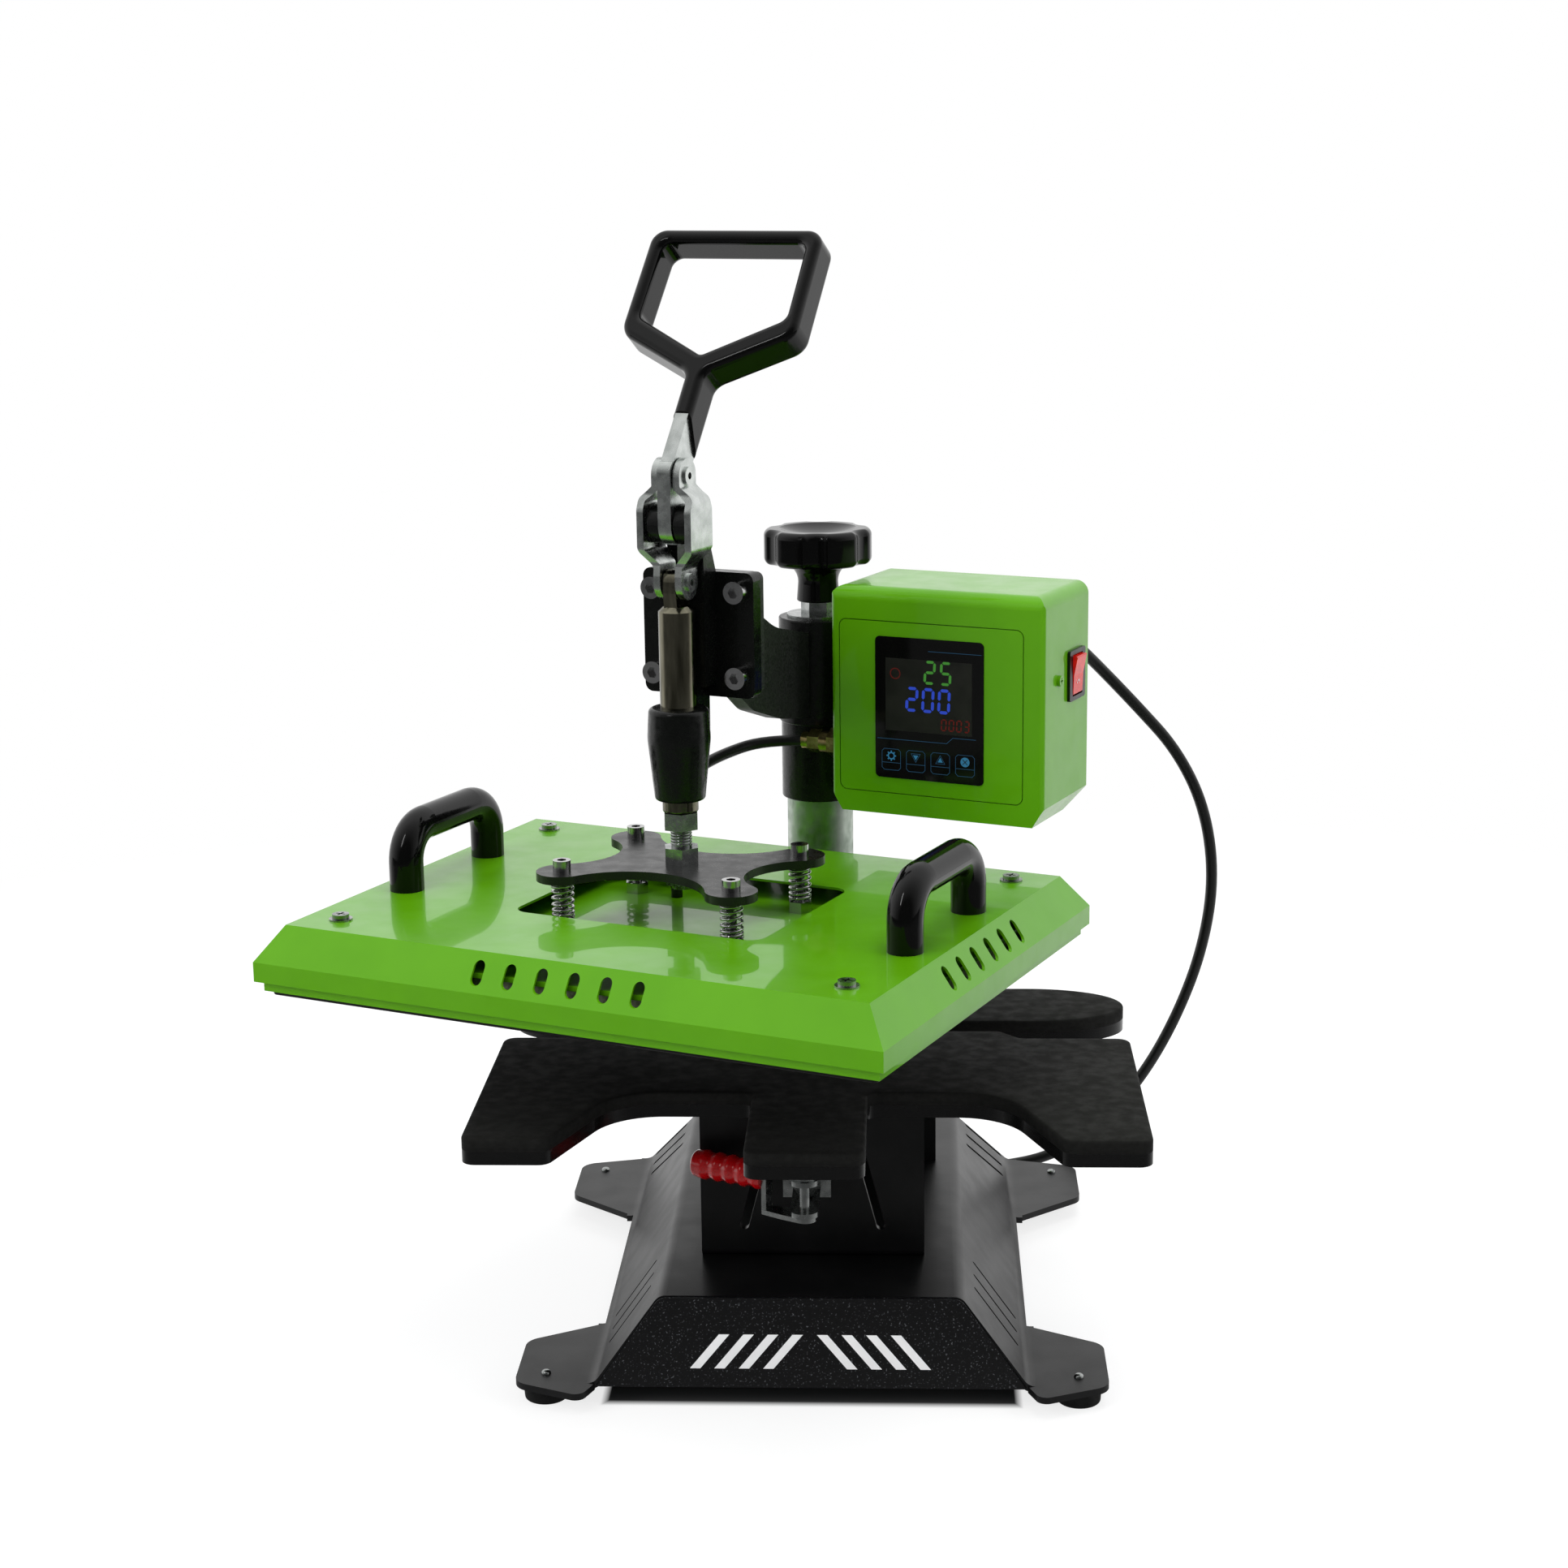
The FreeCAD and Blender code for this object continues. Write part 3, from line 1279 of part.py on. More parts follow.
for x, y in bolt_places:
    spider_holes.append(
        rod("spring_bolt_radius + shaft_play", "spider_low - 1", "spider_top + 1", x, y))
node("spider_plate", [cut("spider_piece", spider, spider_holes)], True)

# Spring bolts with their lower nuts, and the springs round them
spring_bolts = []
springs = []
for x, y in bolt_places:
    blank = joined("spring_bolt_blank", [
        rod("spring_head_radius", "spider_top", "spider_top + spring_head_high", x, y),
        rod("spring_bolt_radius", "inner_top - inner_thick", "spider_top + 1", x, y),
        hexagon("bolt_across", "inner_top", "spring_low", x, y),
    ])
    spring_bolts.append(cut("spring_bolt", blank, [
        hexagon("5", "spider_top + spring_head_high / 2", "spider_top + spring_head_high + 1", x, y)]))
    travel = value("spider_low - spring_low") - 2 * value("wire_radius")
    turns = value("spring_turns")
    coil = Part.makeHelix(travel / turns, travel, value("spring_radius"))
    rim = Part.Circle(Vector(value("spring_radius"), 0, 0), Vector(0, 1, 0), value("wire_radius"))
    wire = Part.Wire(coil.Edges).makePipeShell([Part.Wire(rim.toShape())], True, True)
    springs.append(put(feature("spring", wire), x, y, "spring_low + wire_radius"))
node("spring_bolts", spring_bolts, True)
node("platen_springs", springs, True)


def frustum(x_low, y_low, low, x_high, y_high, high):
    """A block with sloping sides about the press axis, from half widths at two levels."""
    made = doc.addObject("Part::Wedge", "frustum")
    for name, rule in (
            ("Xmin", "-(%s)" % x_low), ("Xmax", x_low), ("X2min", "-(%s)" % x_high), ("X2max", x_high),
            ("Zmin", "-(%s)" % y_low), ("Zmax", y_low), ("Z2min", "-(%s)" % y_high), ("Z2max", y_high),
            ("Ymin", "0"), ("Ymax", "(%s) - (%s)" % (high, low))):
        made.setExpression(name, bound(rule))
    return put(made, "0", "press_y", low, Rotation(Vector(1, 0, 0), 90))


# Heat cover: top with a window, sloping sides with vents, and a skirt
cover_outer = joined("cover_outer", [
    block("-cover_half_x", "cover_half_x", "press_y - cover_half_y", "press_y + cover_half_y",
          "cover_skirt_low", "cover_slope_low"),
    frustum("cover_half_x", "cover_half_y", "cover_slope_low",
            "cover_half_x - cover_slope_run", "cover_half_y - cover_slope_run", "cover_top"),
])
cover_inner = joined("cover_inner", [
    block("-cover_half_x + cover_sheet", "cover_half_x - cover_sheet",
          "press_y - cover_half_y + cover_sheet", "press_y + cover_half_y - cover_sheet",
          "cover_skirt_low - 1", "cover_slope_low - cover_bend"),
    frustum("cover_half_x - cover_sheet", "cover_half_y - cover_sheet",
            "cover_slope_low - cover_bend",
            "cover_half_x - cover_slope_run - cover_fold",
            "cover_half_y - cover_slope_run - cover_fold", "cover_top - cover_sheet"),
])
window = slab("cover_window", "XY", [[
    ("-window_half_x", "press_y - window_half_y", "window_corner"),
    ("window_half_x", "press_y - window_half_y", "window_corner"),
    ("window_half_x", "press_y + window_half_y", "window_corner"),
    ("-window_half_x", "press_y + window_half_y", "window_corner"),
]], "cover_top - 9", "cover_top + 9")
vents = []
for number in range(6):
    place = "(%g) * vent_pitch" % (number - 2.5)
    vents.append(("slot", (place, "vent_low + vent_half"), (place, "vent_high - vent_half"), "vent_half"))
front_vents = slab("front_vents", "XZ", vents, "press_y - cover_half_y - 1", "press_y - cover_half_y + 18")
rear_vents = slab("rear_vents", "XZ", vents, "press_y + cover_half_y - 18", "press_y + cover_half_y + 1")
side_vents = []
for number in range(6):
    place = "press_y + (%g) * vent_pitch" % (number - 2.5)
    side_vents.append(
        ("slot", (place, "vent_low + vent_half"), (place, "vent_high - vent_half"), "vent_half"))
right_vents = slab("right_vents", "YZ", side_vents, "cover_half_x - 18", "cover_half_x + 1")
left_vents = slab("left_vents", "YZ", side_vents, "-cover_half_x - 1", "-cover_half_x + 18")
cover_places = []
for x in ("cover_screw_x", "-cover_screw_x"):
    for y in ("press_y + cover_screw_y", "press_y - cover_screw_y"):
        cover_places.append((x, y))
cover_holes = [rod("cover_screw_radius + shaft_play", "cover_top - 9", "cover_top + 1", x, y)
               for x, y in cover_places]
cover = cut("cover_piece", cover_outer, [
    cover_inner, window, front_vents, rear_vents, right_vents, left_vents] + cover_holes)
node("heat_cover", [cover], True)


def tray(half_x, half_y, low, top):
    """A plain block about the press axis."""
    return block("-(%s)" % half_x, half_x, "press_y - (%s)" % half_y, "press_y + (%s)" % half_y, low, top)


# Platen frame: an angle ring standing round the heating plate
frame_x = "cover_half_x - frame_inset"
frame_y = "cover_half_y - frame_inset"
ring = cut("frame_ring", tray(frame_x, frame_y, "frame_low", "plate_top + frame_thick"), [
    tray(frame_x + " - frame_thick", frame_y + " - frame_thick", "frame_low - 1", "plate_top"),
    tray("plate_half_x - frame_lap", "plate_half_y - frame_lap", "plate_top - 1", "plate_top + 9"),
])
node("platen_frame", [ring], True)
plate = slab("plate_body", "XY", [[
    ("-plate_half_x", "press_y - plate_half_y", "3"),
    ("plate_half_x", "press_y - plate_half_y", "3"),
    ("plate_half_x", "press_y + plate_half_y", "3"),
    ("-plate_half_x", "press_y + plate_half_y", "3"),
]], "plate_low", "plate_top")
rounded(plate, "1.2", lambda edge: abs(edge.CenterOfMass.z - value("plate_low")) < 0.01)
node("heating_plate", [plate], True)
node("insulation", [
    tray("plate_half_x - frame_lap - 0.3", "plate_half_y - frame_lap - 0.3",
         "plate_top", "inner_top - inner_thick")], True)
inner = tray("inner_half_x", "inner_half_y", "inner_top - inner_thick", "inner_top")
inner_holes = [rod("spring_bolt_radius", "inner_top - 9", "inner_top + 1", x, y) for x, y in bolt_places]
standoffs = []
cover_screws = []
for x, y in cover_places:
    standoffs.append(cut("standoff", hexagon("9", "inner_top", "cover_top - cover_sheet", x, y), [
        rod("cover_screw_radius", "cover_top - 9", "cover_top + 1", x, y)]))
    blank = joined("cover_screw_blank", [
        rod("6.7", "cover_top", "cover_top + 1", x, y),
        rod("4.9", "cover_top", "cover_top + 3.6", x, y),
        rod("cover_screw_radius", "cover_top - 8.5", "cover_top + 1", x, y),
    ])
    slots = []
    for wide, deep in (("3", "0.6"), ("0.6", "3")):
        slots.append(block("(%s) - %s" % (x, wide), "(%s) + %s" % (x, wide),
                           "(%s) - %s" % (y, deep), "(%s) + %s" % (y, deep),
                           "cover_top + 2", "cover_top + 9"))
    cover_screws.append(cut("cover_screw", blank, slots))
node("inner_plate", [cut("inner_piece", inner, inner_holes)] + standoffs, True)
node("cover_screws", cover_screws, True)

# Side handles: a thick dipped bow on each side of the cover
side_handles = []
for x in ("handle_x", "-handle_x"):
    bar_z = "handle_top - handle_radius"
    bow = [rod("handle_radius", "press_y - handle_y + handle_bend", "press_y + handle_y - handle_bend",
               x, bar_z, "Y")]
    for side, turn in (("+", 0), ("-", 180)):
        y = "press_y %s handle_y" % side
        bow.append(rod("handle_radius", "cover_top", bar_z + " - handle_bend", x, y))
        elbow = doc.addObject("Part::Torus", "elbow")
        elbow.setExpression("Radius1", bound("handle_bend"))
        elbow.setExpression("Radius2", bound("handle_radius"))
        elbow.Angle3 = 90
        lay = Rotation(Vector(0, 0, 1), turn).multiply(Rotation(Vector(1, 1, 1), 120))
        centre = "press_y %s (handle_y - handle_bend)" % side
        bow.append(put(elbow, x, centre, bar_z + " - handle_bend", lay))
    side_handles.append(joined("side_handle", bow))
node("side_handles", side_handles, True)

# Control box: shell with a framed front, chamfers below and a cut corner at the back
box_front_shape = [
    ("box_left + box_chamfer_x", "box_low"),
    ("box_right - box_chamfer_x", "box_low"),
    ("box_right", "box_low + box_chamfer_z"),
    ("box_right", "box_top", "box_round"),
    ("box_left", "box_top", "box_round"),
    ("box_left", "box_low + box_chamfer_z"),
]
box_inner_shape = [
    ("box_left + box_chamfer_x + box_sheet * 0.6", "box_low + box_sheet"),
    ("box_right - box_chamfer_x - box_sheet * 0.6", "box_low + box_sheet"),
    ("box_right - box_sheet", "box_low + box_chamfer_z + box_sheet * 0.3"),
    ("box_right - box_sheet", "box_top - box_sheet", "box_round - box_sheet"),
    ("box_left + box_sheet", "box_top - box_sheet", "box_round - box_sheet"),
    ("box_left + box_sheet", "box_low + box_chamfer_z + box_sheet * 0.3"),
]


def box_side(inset, front, rear):
    """The box's side outline, drawn in by an inset, with its lower rear corner cut off."""
    low = "box_low + %s" % inset
    return [
        (front, low),
        ("box_rear - box_cut_y - %s * 0.2" % inset, low),
        ("box_rear - %s" % inset, "box_low + box_cut_z + %s * 0.7" % inset),
        (rear, "box_low + box_cut_z + %s * 0.7" % inset),
        (rear, "box_top - %s" % inset),
        (front, "box_top - %s" % inset, "box_nose - %s" % inset),
    ]


box_sides = common("box_sides", slab("box_run", "XZ", [box_front_shape], "box_front", "box_rear"),
                   slab("box_outline", "YZ", [[
                       ("box_front", "box_low"),
                       ("box_rear - box_cut_y", "box_low"),
                       ("box_rear", "box_low + box_cut_z"),
                       ("box_rear", "box_top"),
                       ("box_front", "box_top", "box_nose"),
                   ]], "box_left", "box_right"))
box_outer = common("box_outer", box_sides, slab("box_plan", "XY", [[
    ("box_left", "box_front", "box_edge"),
    ("box_right", "box_front", "box_edge"),
    ("box_right", "box_rear"),
    ("box_left", "box_rear"),
]], "box_low", "box_top"))
box_inner = common("box_inner", slab("box_hollow", "XZ", [box_inner_shape],
                                     "box_front + box_sheet", "box_rear + 5"),
                   slab("box_hollow_side", "YZ",
                        [box_side("box_sheet", "box_front + box_sheet", "box_rear + 5")],
                        "box_left", "box_right"))
panel_shape = [
    ("panel_left", "panel_low", "panel_corner"),
    ("panel_right", "panel_low", "panel_corner"),
    ("panel_right", "panel_high", "panel_corner"),
    ("panel_left", "panel_high", "panel_corner"),
]
box_opening = slab("box_opening", "XZ", [panel_shape], "box_front - 1", "box_front + 9")
side_screws = [("side_screw_y", "side_screw_high")]
box_cuts = [box_inner, box_opening,
            block("box_right - 9", "box_right + 1", "bezel_front + 2", "bezel_rear - 2",
                  "bezel_low + 2", "bezel_high - 2"),
            rod("6", "box_left - 1", "box_left + 9", "gland_y", "gland_z", "X")]
for y, z in side_screws:
    box_cuts.append(rod("side_screw_radius", "box_right - 9", "box_right + 1", y, z, "X"))
node("box_shell", [cut("box_piece", box_outer, box_cuts)], True)
front_face = slab("front_face", "XZ", [[
    ("panel_left + groove", "panel_low + groove", "panel_corner - groove"),
    ("panel_right - groove", "panel_low + groove", "panel_corner - groove"),
    ("panel_right - groove", "panel_high - groove", "panel_corner - groove"),
    ("panel_left + groove", "panel_high - groove", "panel_corner - groove"),
]], "box_front", "box_front + box_sheet")
pad(front_face, "XZ", [[
    ("panel_left - 2.5", "panel_low - 4", "2"),
    ("panel_right + 4", "panel_low - 4", "2"),
    ("panel_right + 4", "panel_high + 4", "2"),
    ("panel_left - 2.5", "panel_high + 4", "2"),
]], "box_front + box_sheet", "box_front + 2 * box_sheet")
pocket(front_face, "XZ", [[
    ("display_left", "display_low", "3"),
    ("display_right", "display_low", "3"),
    ("display_right", "display_high", "3"),
    ("display_left", "display_high", "3"),
]], "box_front", "box_front + 1")
node("box_front_panel", [front_face], True)
display = slab("display_body", "XZ", [[
    ("display_left + shaft_play", "display_low + shaft_play", "3 - shaft_play"),
    ("display_right - shaft_play", "display_low + shaft_play", "3 - shaft_play"),
    ("display_right - shaft_play", "display_high - shaft_play", "3 - shaft_play"),
    ("display_left + shaft_play", "display_high - shaft_play", "3 - shaft_play"),
]], "box_front - 0.6", "box_front + 1")
node("display_window", [display], True)
back = block("box_left + box_sheet + 0.1", "box_right - box_sheet - 0.1",
             "box_rear - box_sheet - 1", "box_rear - 1",
             "box_low + box_cut_z + box_sheet", "box_top - box_sheet - 0.1")
back_round = slab("back_round", "XZ", [[
    ("box_left + box_sheet + 0.1", "box_low + box_cut_z + box_sheet", "2"),
    ("box_right - box_sheet - 0.1", "box_low + box_cut_z + box_sheet", "2"),
    ("box_right - box_sheet - 0.1", "box_top - box_sheet - 0.1", "box_round - box_sheet"),
    ("box_left + box_sheet + 0.1", "box_top - box_sheet - 0.1", "box_round - box_sheet"),
]], "box_rear - 9", "box_rear")
back_cover = cut("back_piece", common("back_sheet", back, back_round), [
    rod("5.5", "box_rear - 9", "box_rear + 1", "cord_exit_x", "cord_exit_z", "Y")])
node("box_back_cover", [back_cover], True)
board_blocks = [
    block("display_left - 6", "display_right + 6", "circuit_y", "circuit_y + 1.6",
          "display_low - 3", "display_high + 3"),
    block("display_left", "display_left + 22", "circuit_y + 1", "circuit_y + 19",
          "display_low + 4", "display_low + 22"),
    block("display_right - 34", "display_right", "circuit_y + 1", "circuit_y + 17",
          "display_low + 8", "display_low + 34"),
]
for x in ("display_left - 3", "display_right + 3"):
    for z in ("display_low", "display_high"):
        board_blocks.append(
            rod("standoff_radius", "box_front + 2 * box_sheet", "circuit_y + 0.5", x, z, "Y"))
board = joined("electronics_piece", board_blocks)
node("box_electronics", [board], True)
hub_side = cut("bracket_piece", joined("bracket_blank", [
    block("box_left - 3", "box_left", "66", "112", "345", "412"),
    block("14", "box_left - 2", "post_back - 9", "post_back + 9", "355", "405"),
]), [rod("hub_radius", "sleeve_low", "hub_top + 30", "0", "post_back")])
node("box_bracket", [hub_side], True)

# Rocker switch in its bezel on the box's right side
bezel_y = "(bezel_front + bezel_rear) / 2"
bezel_z = "(bezel_low + bezel_high) / 2"
bezel_face = slab("bezel_face", "YZ", [[
    ("bezel_front", "bezel_low", "2"),
    ("bezel_rear", "bezel_low", "2"),
    ("bezel_rear", "bezel_high", "2"),
    ("bezel_front", "bezel_high", "2"),
]], "box_right", "box_right + bezel_proud")
bezel_blank = joined("bezel_blank", [
    bezel_face,
    block("box_right - 18", "box_right + 1", "bezel_front + 2.2", "bezel_rear - 2.2",
          "bezel_low + 2.2", "bezel_high - 2.2"),
])
bezel = cut("bezel_piece", bezel_blank, [
    block("box_right - 12", "box_right + 9", bezel_y + " - rocker_half_y - 0.4",
          bezel_y + " + rocker_half_y + 0.4", bezel_z + " - rocker_half_z - 0.9",
          bezel_z + " + rocker_half_z + 0.9"),
    rod("rocker_pin + shaft_play", bezel_y + " - rocker_half_y - 2",
        bezel_y + " + rocker_half_y + 2", "box_right", bezel_z, "Y")])
node("switch_bezel", [bezel], True)
rocker = slab("rocker_body", "XZ", [[
    ("box_right - 5", bezel_z + " - 7"),
    ("box_right + 0.5", bezel_z + " - rocker_half_z", "1"),
    ("box_right + 2.2", bezel_z + " - rocker_half_z", "0.8"),
    ("box_right + 2.6", bezel_z),
    ("box_right + 5", bezel_z + " + rocker_half_z", "0.8"),
    ("box_right - 0.5", bezel_z + " + rocker_half_z", "1"),
    ("box_right - 5", bezel_z + " + 7"),
]], bezel_y + " - rocker_half_y", bezel_y + " + rocker_half_y")
node("rocker_switch", [joined("rocker_piece", [rocker, rod(
    "rocker_pin", bezel_y + " - rocker_half_y - 1.6", bezel_y + " + rocker_half_y + 1.6",
    "box_right", bezel_z, "Y")])], True)
box_screws = []
for y, z in side_screws:
    blank = joined("box_screw_blank", [
        rod("3.4", "box_right", "box_right + 2.2", y, z, "X"),
        rod("side_screw_radius", "box_right - 6", "box_right + 1", y, z, "X"),
    ])
    box_screws.append(cut("box_screw", blank, [
        block("box_right + 1.2", "box_right + 9", y + " - 2", y + " + 2", z + " - 0.45", z + " + 0.45"),
        block("box_right + 1.2", "box_right + 9", y + " - 0.45", y + " + 0.45", z + " - 2", z + " + 2"),
    ]))
node("box_screws", box_screws, True)
gland = cut("gland_piece", joined("gland_blank", [
    hexagon("16", "box_left - 5", "box_left", "gland_y", "gland_z", "X"),
    rod("6", "box_left - 1", "box_left + 8", "gland_y", "gland_z", "X"),
    rod("7", "box_left - 11", "box_left - 4", "gland_y", "gland_z", "X"),
    hexagon("13", "box_left - 19", "box_left - 11", "gland_y", "gland_z", "X"),
    rod("5.4", "box_left - 24", "box_left - 18", "gland_y", "gland_z", "X"),
]), [rod("heater_radius + shaft_play", "box_left - 30", "box_left + 20", "gland_y", "gland_z", "X")])
node("cable_gland", [gland], True)
relief = turned("relief_body", [
    ("cord_radius + shaft_play", "-6"),
    ("5.5", "-6"),
    ("5.5", "-1"),
    ("8.5", "-1", "0.5"),
    ("8.5", "3", "1"),
    ("7", "4.5"),
    ("5.2", "relief_length", "0.8"),
    ("cord_radius + shaft_play", "relief_length"),
])
put(relief, "cord_exit_x", "box_rear", "cord_exit_z", TURNS["Y"])
node("strain_relief", [relief], True)

# Pressure knob with its stem, and the screw under it
wheel = rod("wheel_radius", "wheel_low", "wheel_low + wheel_high", "0", "post_back")
scallops = []
for number in range(6):
    bearing = "%d" % (60 * number + 30)
    scallops.append(rod("scallop_radius", "wheel_low - 1", "wheel_low + wheel_high + 1",
                        "scallop_place * cos(%s)" % bearing,
                        "post_back + scallop_place * sin(%s)" % bearing))
wheel_shape = cut("wheel_cut", wheel, scallops)
doc.recompute()
lobed = doc.addObject("Part::Fillet", "wheel_lobed")
lobed.Base = wheel_shape
lobed.Edges = [(number, 5, 5) for number, edge in enumerate(wheel_shape.Shape.Edges, 1)
               if upright(edge) and edge.Length > 9]
doc.recompute()
soft = doc.addObject("Part::Fillet", "wheel_soft")
soft.Base = lobed
soft.Edges = [(number, 4.4, 4.4) for number, edge in enumerate(lobed.Shape.Edges, 1)
              if abs(edge.CenterOfMass.z - value("wheel_low + wheel_high / 2")) > 11]
dish = doc.addObject("Part::Sphere", "dish")
dish.Radius = 62
put(dish, "0", "post_back", "wheel_low + wheel_high + 57")
stem = turned("knob_stem", [
    ("0", "knob_low"),
    ("knob_stem", "knob_low", "1"),
    ("knob_stem - 1.2", "wheel_low - 8", "12"),
    ("knob_stem + 5", "wheel_low + 1"),
    ("0", "wheel_low + 1"),
])
put(stem, "0", "post_back")
knob = cut("knob_piece", joined("knob_blank", [soft, stem]), [
    dish, rod("screw_radius", "knob_low - 1", "wheel_low + 6", "0", "post_back")])
node("pressure_knob", [knob])
spindle = joined("spindle_piece", [
    rod("screw_radius", "plug_low - 4", "wheel_low + 6", "0", "post_back"),
    hexagon("nut_across", "hub_top + washer_thick", "knob_low", "0", "post_back"),
])
node("pressure_spindle", [spindle])


def routed(points, share):
    """The middle line of a cord: straight runs with an arc tangent at every hand-set point."""
    edges = []
    radii = []
    last = points[0]
    for before, corner, after in zip(points, points[1:], points[2:]):
        into = before - corner
        out = after - corner
        opening = into.getAngle(out)
        half_turn = (math.pi - opening) / 2
        reach = share * min(into.Length, out.Length)
        radius = reach / math.tan(half_turn)
        radii.append(radius)
        start = corner + into.normalize() * reach
        stop = corner + out.normalize() * reach
        bisector = (into + out).normalize()
        middle = corner + bisector * (radius / math.cos(half_turn) - radius)
        edges.append(Part.LineSegment(last, start).toShape())
        edges.append(Part.Arc(start, middle, stop).toShape())
        last = stop
    edges.append(Part.LineSegment(last, points[-1]).toShape())
    return Part.Wire(edges), radii


def tube(line, radius):
    """A round tube along a line."""
    start = line.Edges[0].valueAt(line.Edges[0].FirstParameter)
    heading = line.Edges[0].tangentAt(line.Edges[0].FirstParameter)
    rim = Part.Wire(Part.Circle(start, heading, radius).toShape())
    return line.makePipeShell([rim], True, False)


# Heater cable: from the gland, behind the barrel, down through the cover's window
fall_y = value("press_y + heater_fall")
heater_route = [
    Vector(value("box_left"), value("gland_y"), value("gland_z")),
    Vector(value("box_left") - 46, value("gland_y"), value("gland_z")),
    Vector(-38, 10, 336),
    Vector(-36, -34, 330),
    Vector(-27, fall_y, 300),
    Vector(-27, fall_y, value("inner_top")),
]
heater_line, heater_bends = routed(heater_route, 0.45)
print("heater cable bends", [round(radius, 1) for radius in heater_bends])
node("heater_cable", [feature("heater_tube", tube(heater_line, value("heater_radius")))], True)

# Power cord: out of the box's back, down to the floor and round behind the base
turn = math.radians(value("rest_swing"))
exit_x = value("cord_exit_x")
exit_y = value("box_rear + relief_length - post_back")
cord_exit = Vector(exit_x * math.cos(turn) + exit_y * math.sin(turn),
                   value("post_back") - exit_x * math.sin(turn) + exit_y * math.cos(turn),
                   value("cord_exit_z"))
floor = value("cord_radius")
coil_start = Vector(value("coil_x") + 2 * floor, value("coil_y - coil_radius"), floor)
cord_route = [
    cord_exit,
    cord_exit + Vector(math.sin(turn), math.cos(turn), 0) * 24,
    Vector(163.5, 126.3, 391),
    Vector(178.5, 139.5, 375),
    Vector(206, 149.5, 345),
    Vector(234, 157.5, 313),
    Vector(254, 165, 272),
    Vector(262, 172, 222),
    Vector(256, 178, 170),
    Vector(240, 184, 120),
    Vector(218, 190, 75),
    Vector(190, 195, 38),
    Vector(158, 199.5, 13),
    Vector(120, 200.5, floor),
    Vector(82, 199.5, floor),
    Vector(44, 197.5, floor),
    Vector(8, coil_start.y, floor),
    coil_start,
]
cord_line, cord_bends = routed(cord_route, 0.45)
print("power cord bends", [round(radius, 1) for radius in cord_bends])
cord_tube = tube(cord_line, floor)
print("power cord", round(cord_line.Length), "mm, volume ratio",
      round(cord_tube.Volume / (math.pi * floor ** 2 * cord_line.Length), 4))
node("power_cord", [feature("cord_tube", cord_tube)])


def biarc(start, start_heading, stop, stop_heading):
    """Two arcs, tangent to each other, from one place and heading to another."""
    chord = stop - start
    both = start_heading + stop_heading
    bend = 2 * (start_heading.dot(stop_heading) - 1)
    slope = -2 * chord.dot(both)
    root = math.sqrt(slope ** 2 - 4 * bend * chord.dot(chord))
    reach = (-slope - root) / (2 * bend)
    if reach < 0:
        reach = (-slope + root) / (2 * bend)
    joint = (start + start_heading * reach + stop - stop_heading * reach) * 0.5
    arcs = []
    for one, heading, other in ((start, start_heading, joint), (stop, stop_heading * -1, joint)):
        line = other - one
        half = heading.getAngle(line)
        side = (heading - line * (heading.dot(line) / line.dot(line))).normalize()
        middle = (one + other) * 0.5 + side * (line.Length / 2 * math.tan(half / 2))
        arcs.append((one, middle, other))
    (one, middle, other), (last, last_middle, last_joint) = arcs
    return [Part.Arc(one, middle, other).toShape(), Part.Arc(last_joint, last_middle, last).toShape()]


def coil_state(turns):
    """Place and heading on the coil after so many turns: in below, a climb, out above."""
    lower = value("coil_turns")
    pitch = value("coil_pitch")
    rate = pitch / (2 * math.pi)
    outer = value("coil_radius")
    angle = -math.pi / 2 - 2 * math.pi * turns
    height = 0
    climb = 0
    if turns <= lower:
        radius = outer - pitch * turns
        drift = -rate
    elif turns < lower + 0.5:
        share = (turns - lower) * 2
        radius = outer - pitch * lower - pitch / 4 * (1 - abs(2 * share - 1))
        drift = 0 if abs(share - 0.5) < 0.01 else (-rate if share < 0.5 else rate)
        height = pitch * (1 - math.cos(math.pi * share)) / 2
        climb = pitch * math.sin(math.pi * share) / 2
    else:
        radius = outer - pitch * lower + pitch * (turns - lower - 0.5)
        drift = rate
        height = pitch
    place = Vector(value("coil_x") + radius * math.cos(angle),
                   value("coil_y") + radius * math.sin(angle), floor + height)
    heading = Vector(radius * math.sin(angle) + drift * math.cos(angle),
                     -radius * math.cos(angle) + drift * math.sin(angle), climb)
    if turns == 0 or abs(turns - 2 * lower - 0.5) < 0.001:
        heading = Vector(math.sin(angle), -math.cos(angle), 0)
    return place, heading.normalize()


# Coil: the rest of the cord in two layers behind the base, its tail run out to the plug
quarters = int(round((2 * value("coil_turns") + 0.5) * 4))
coil_edges = [Part.LineSegment(coil_start, coil_state(0)[0]).toShape()]
for number in range(quarters):
    coil_edges += biarc(*coil_state(number / 4), *coil_state((number + 1) / 4))
tail_start, tail_heading = coil_state(quarters / 4)
tail_end = tail_start + tail_heading * value("coil_tail")
coil_edges.append(Part.LineSegment(tail_start, tail_end).toShape())
coil_line = Part.Wire(coil_edges)
coil_tube = tube(coil_line, floor)
spots = coil_line.discretize(Distance=3)
least = min((one - other).Length for number, one in enumerate(spots) for other in spots[number + 12:])
print("coil", round(coil_line.Length), "mm, least gap", round(least - 2 * floor, 2), "volume ratio",
      round(coil_tube.Volume / (math.pi * floor ** 2 * coil_line.Length), 4))
node("power_coil", [feature("coil_tube", coil_tube)])
print("spring least gap", round((value("spider_low - spring_low") - 2 * value("wire_radius"))
                                / value("spring_turns") - 2 * value("wire_radius"), 2))

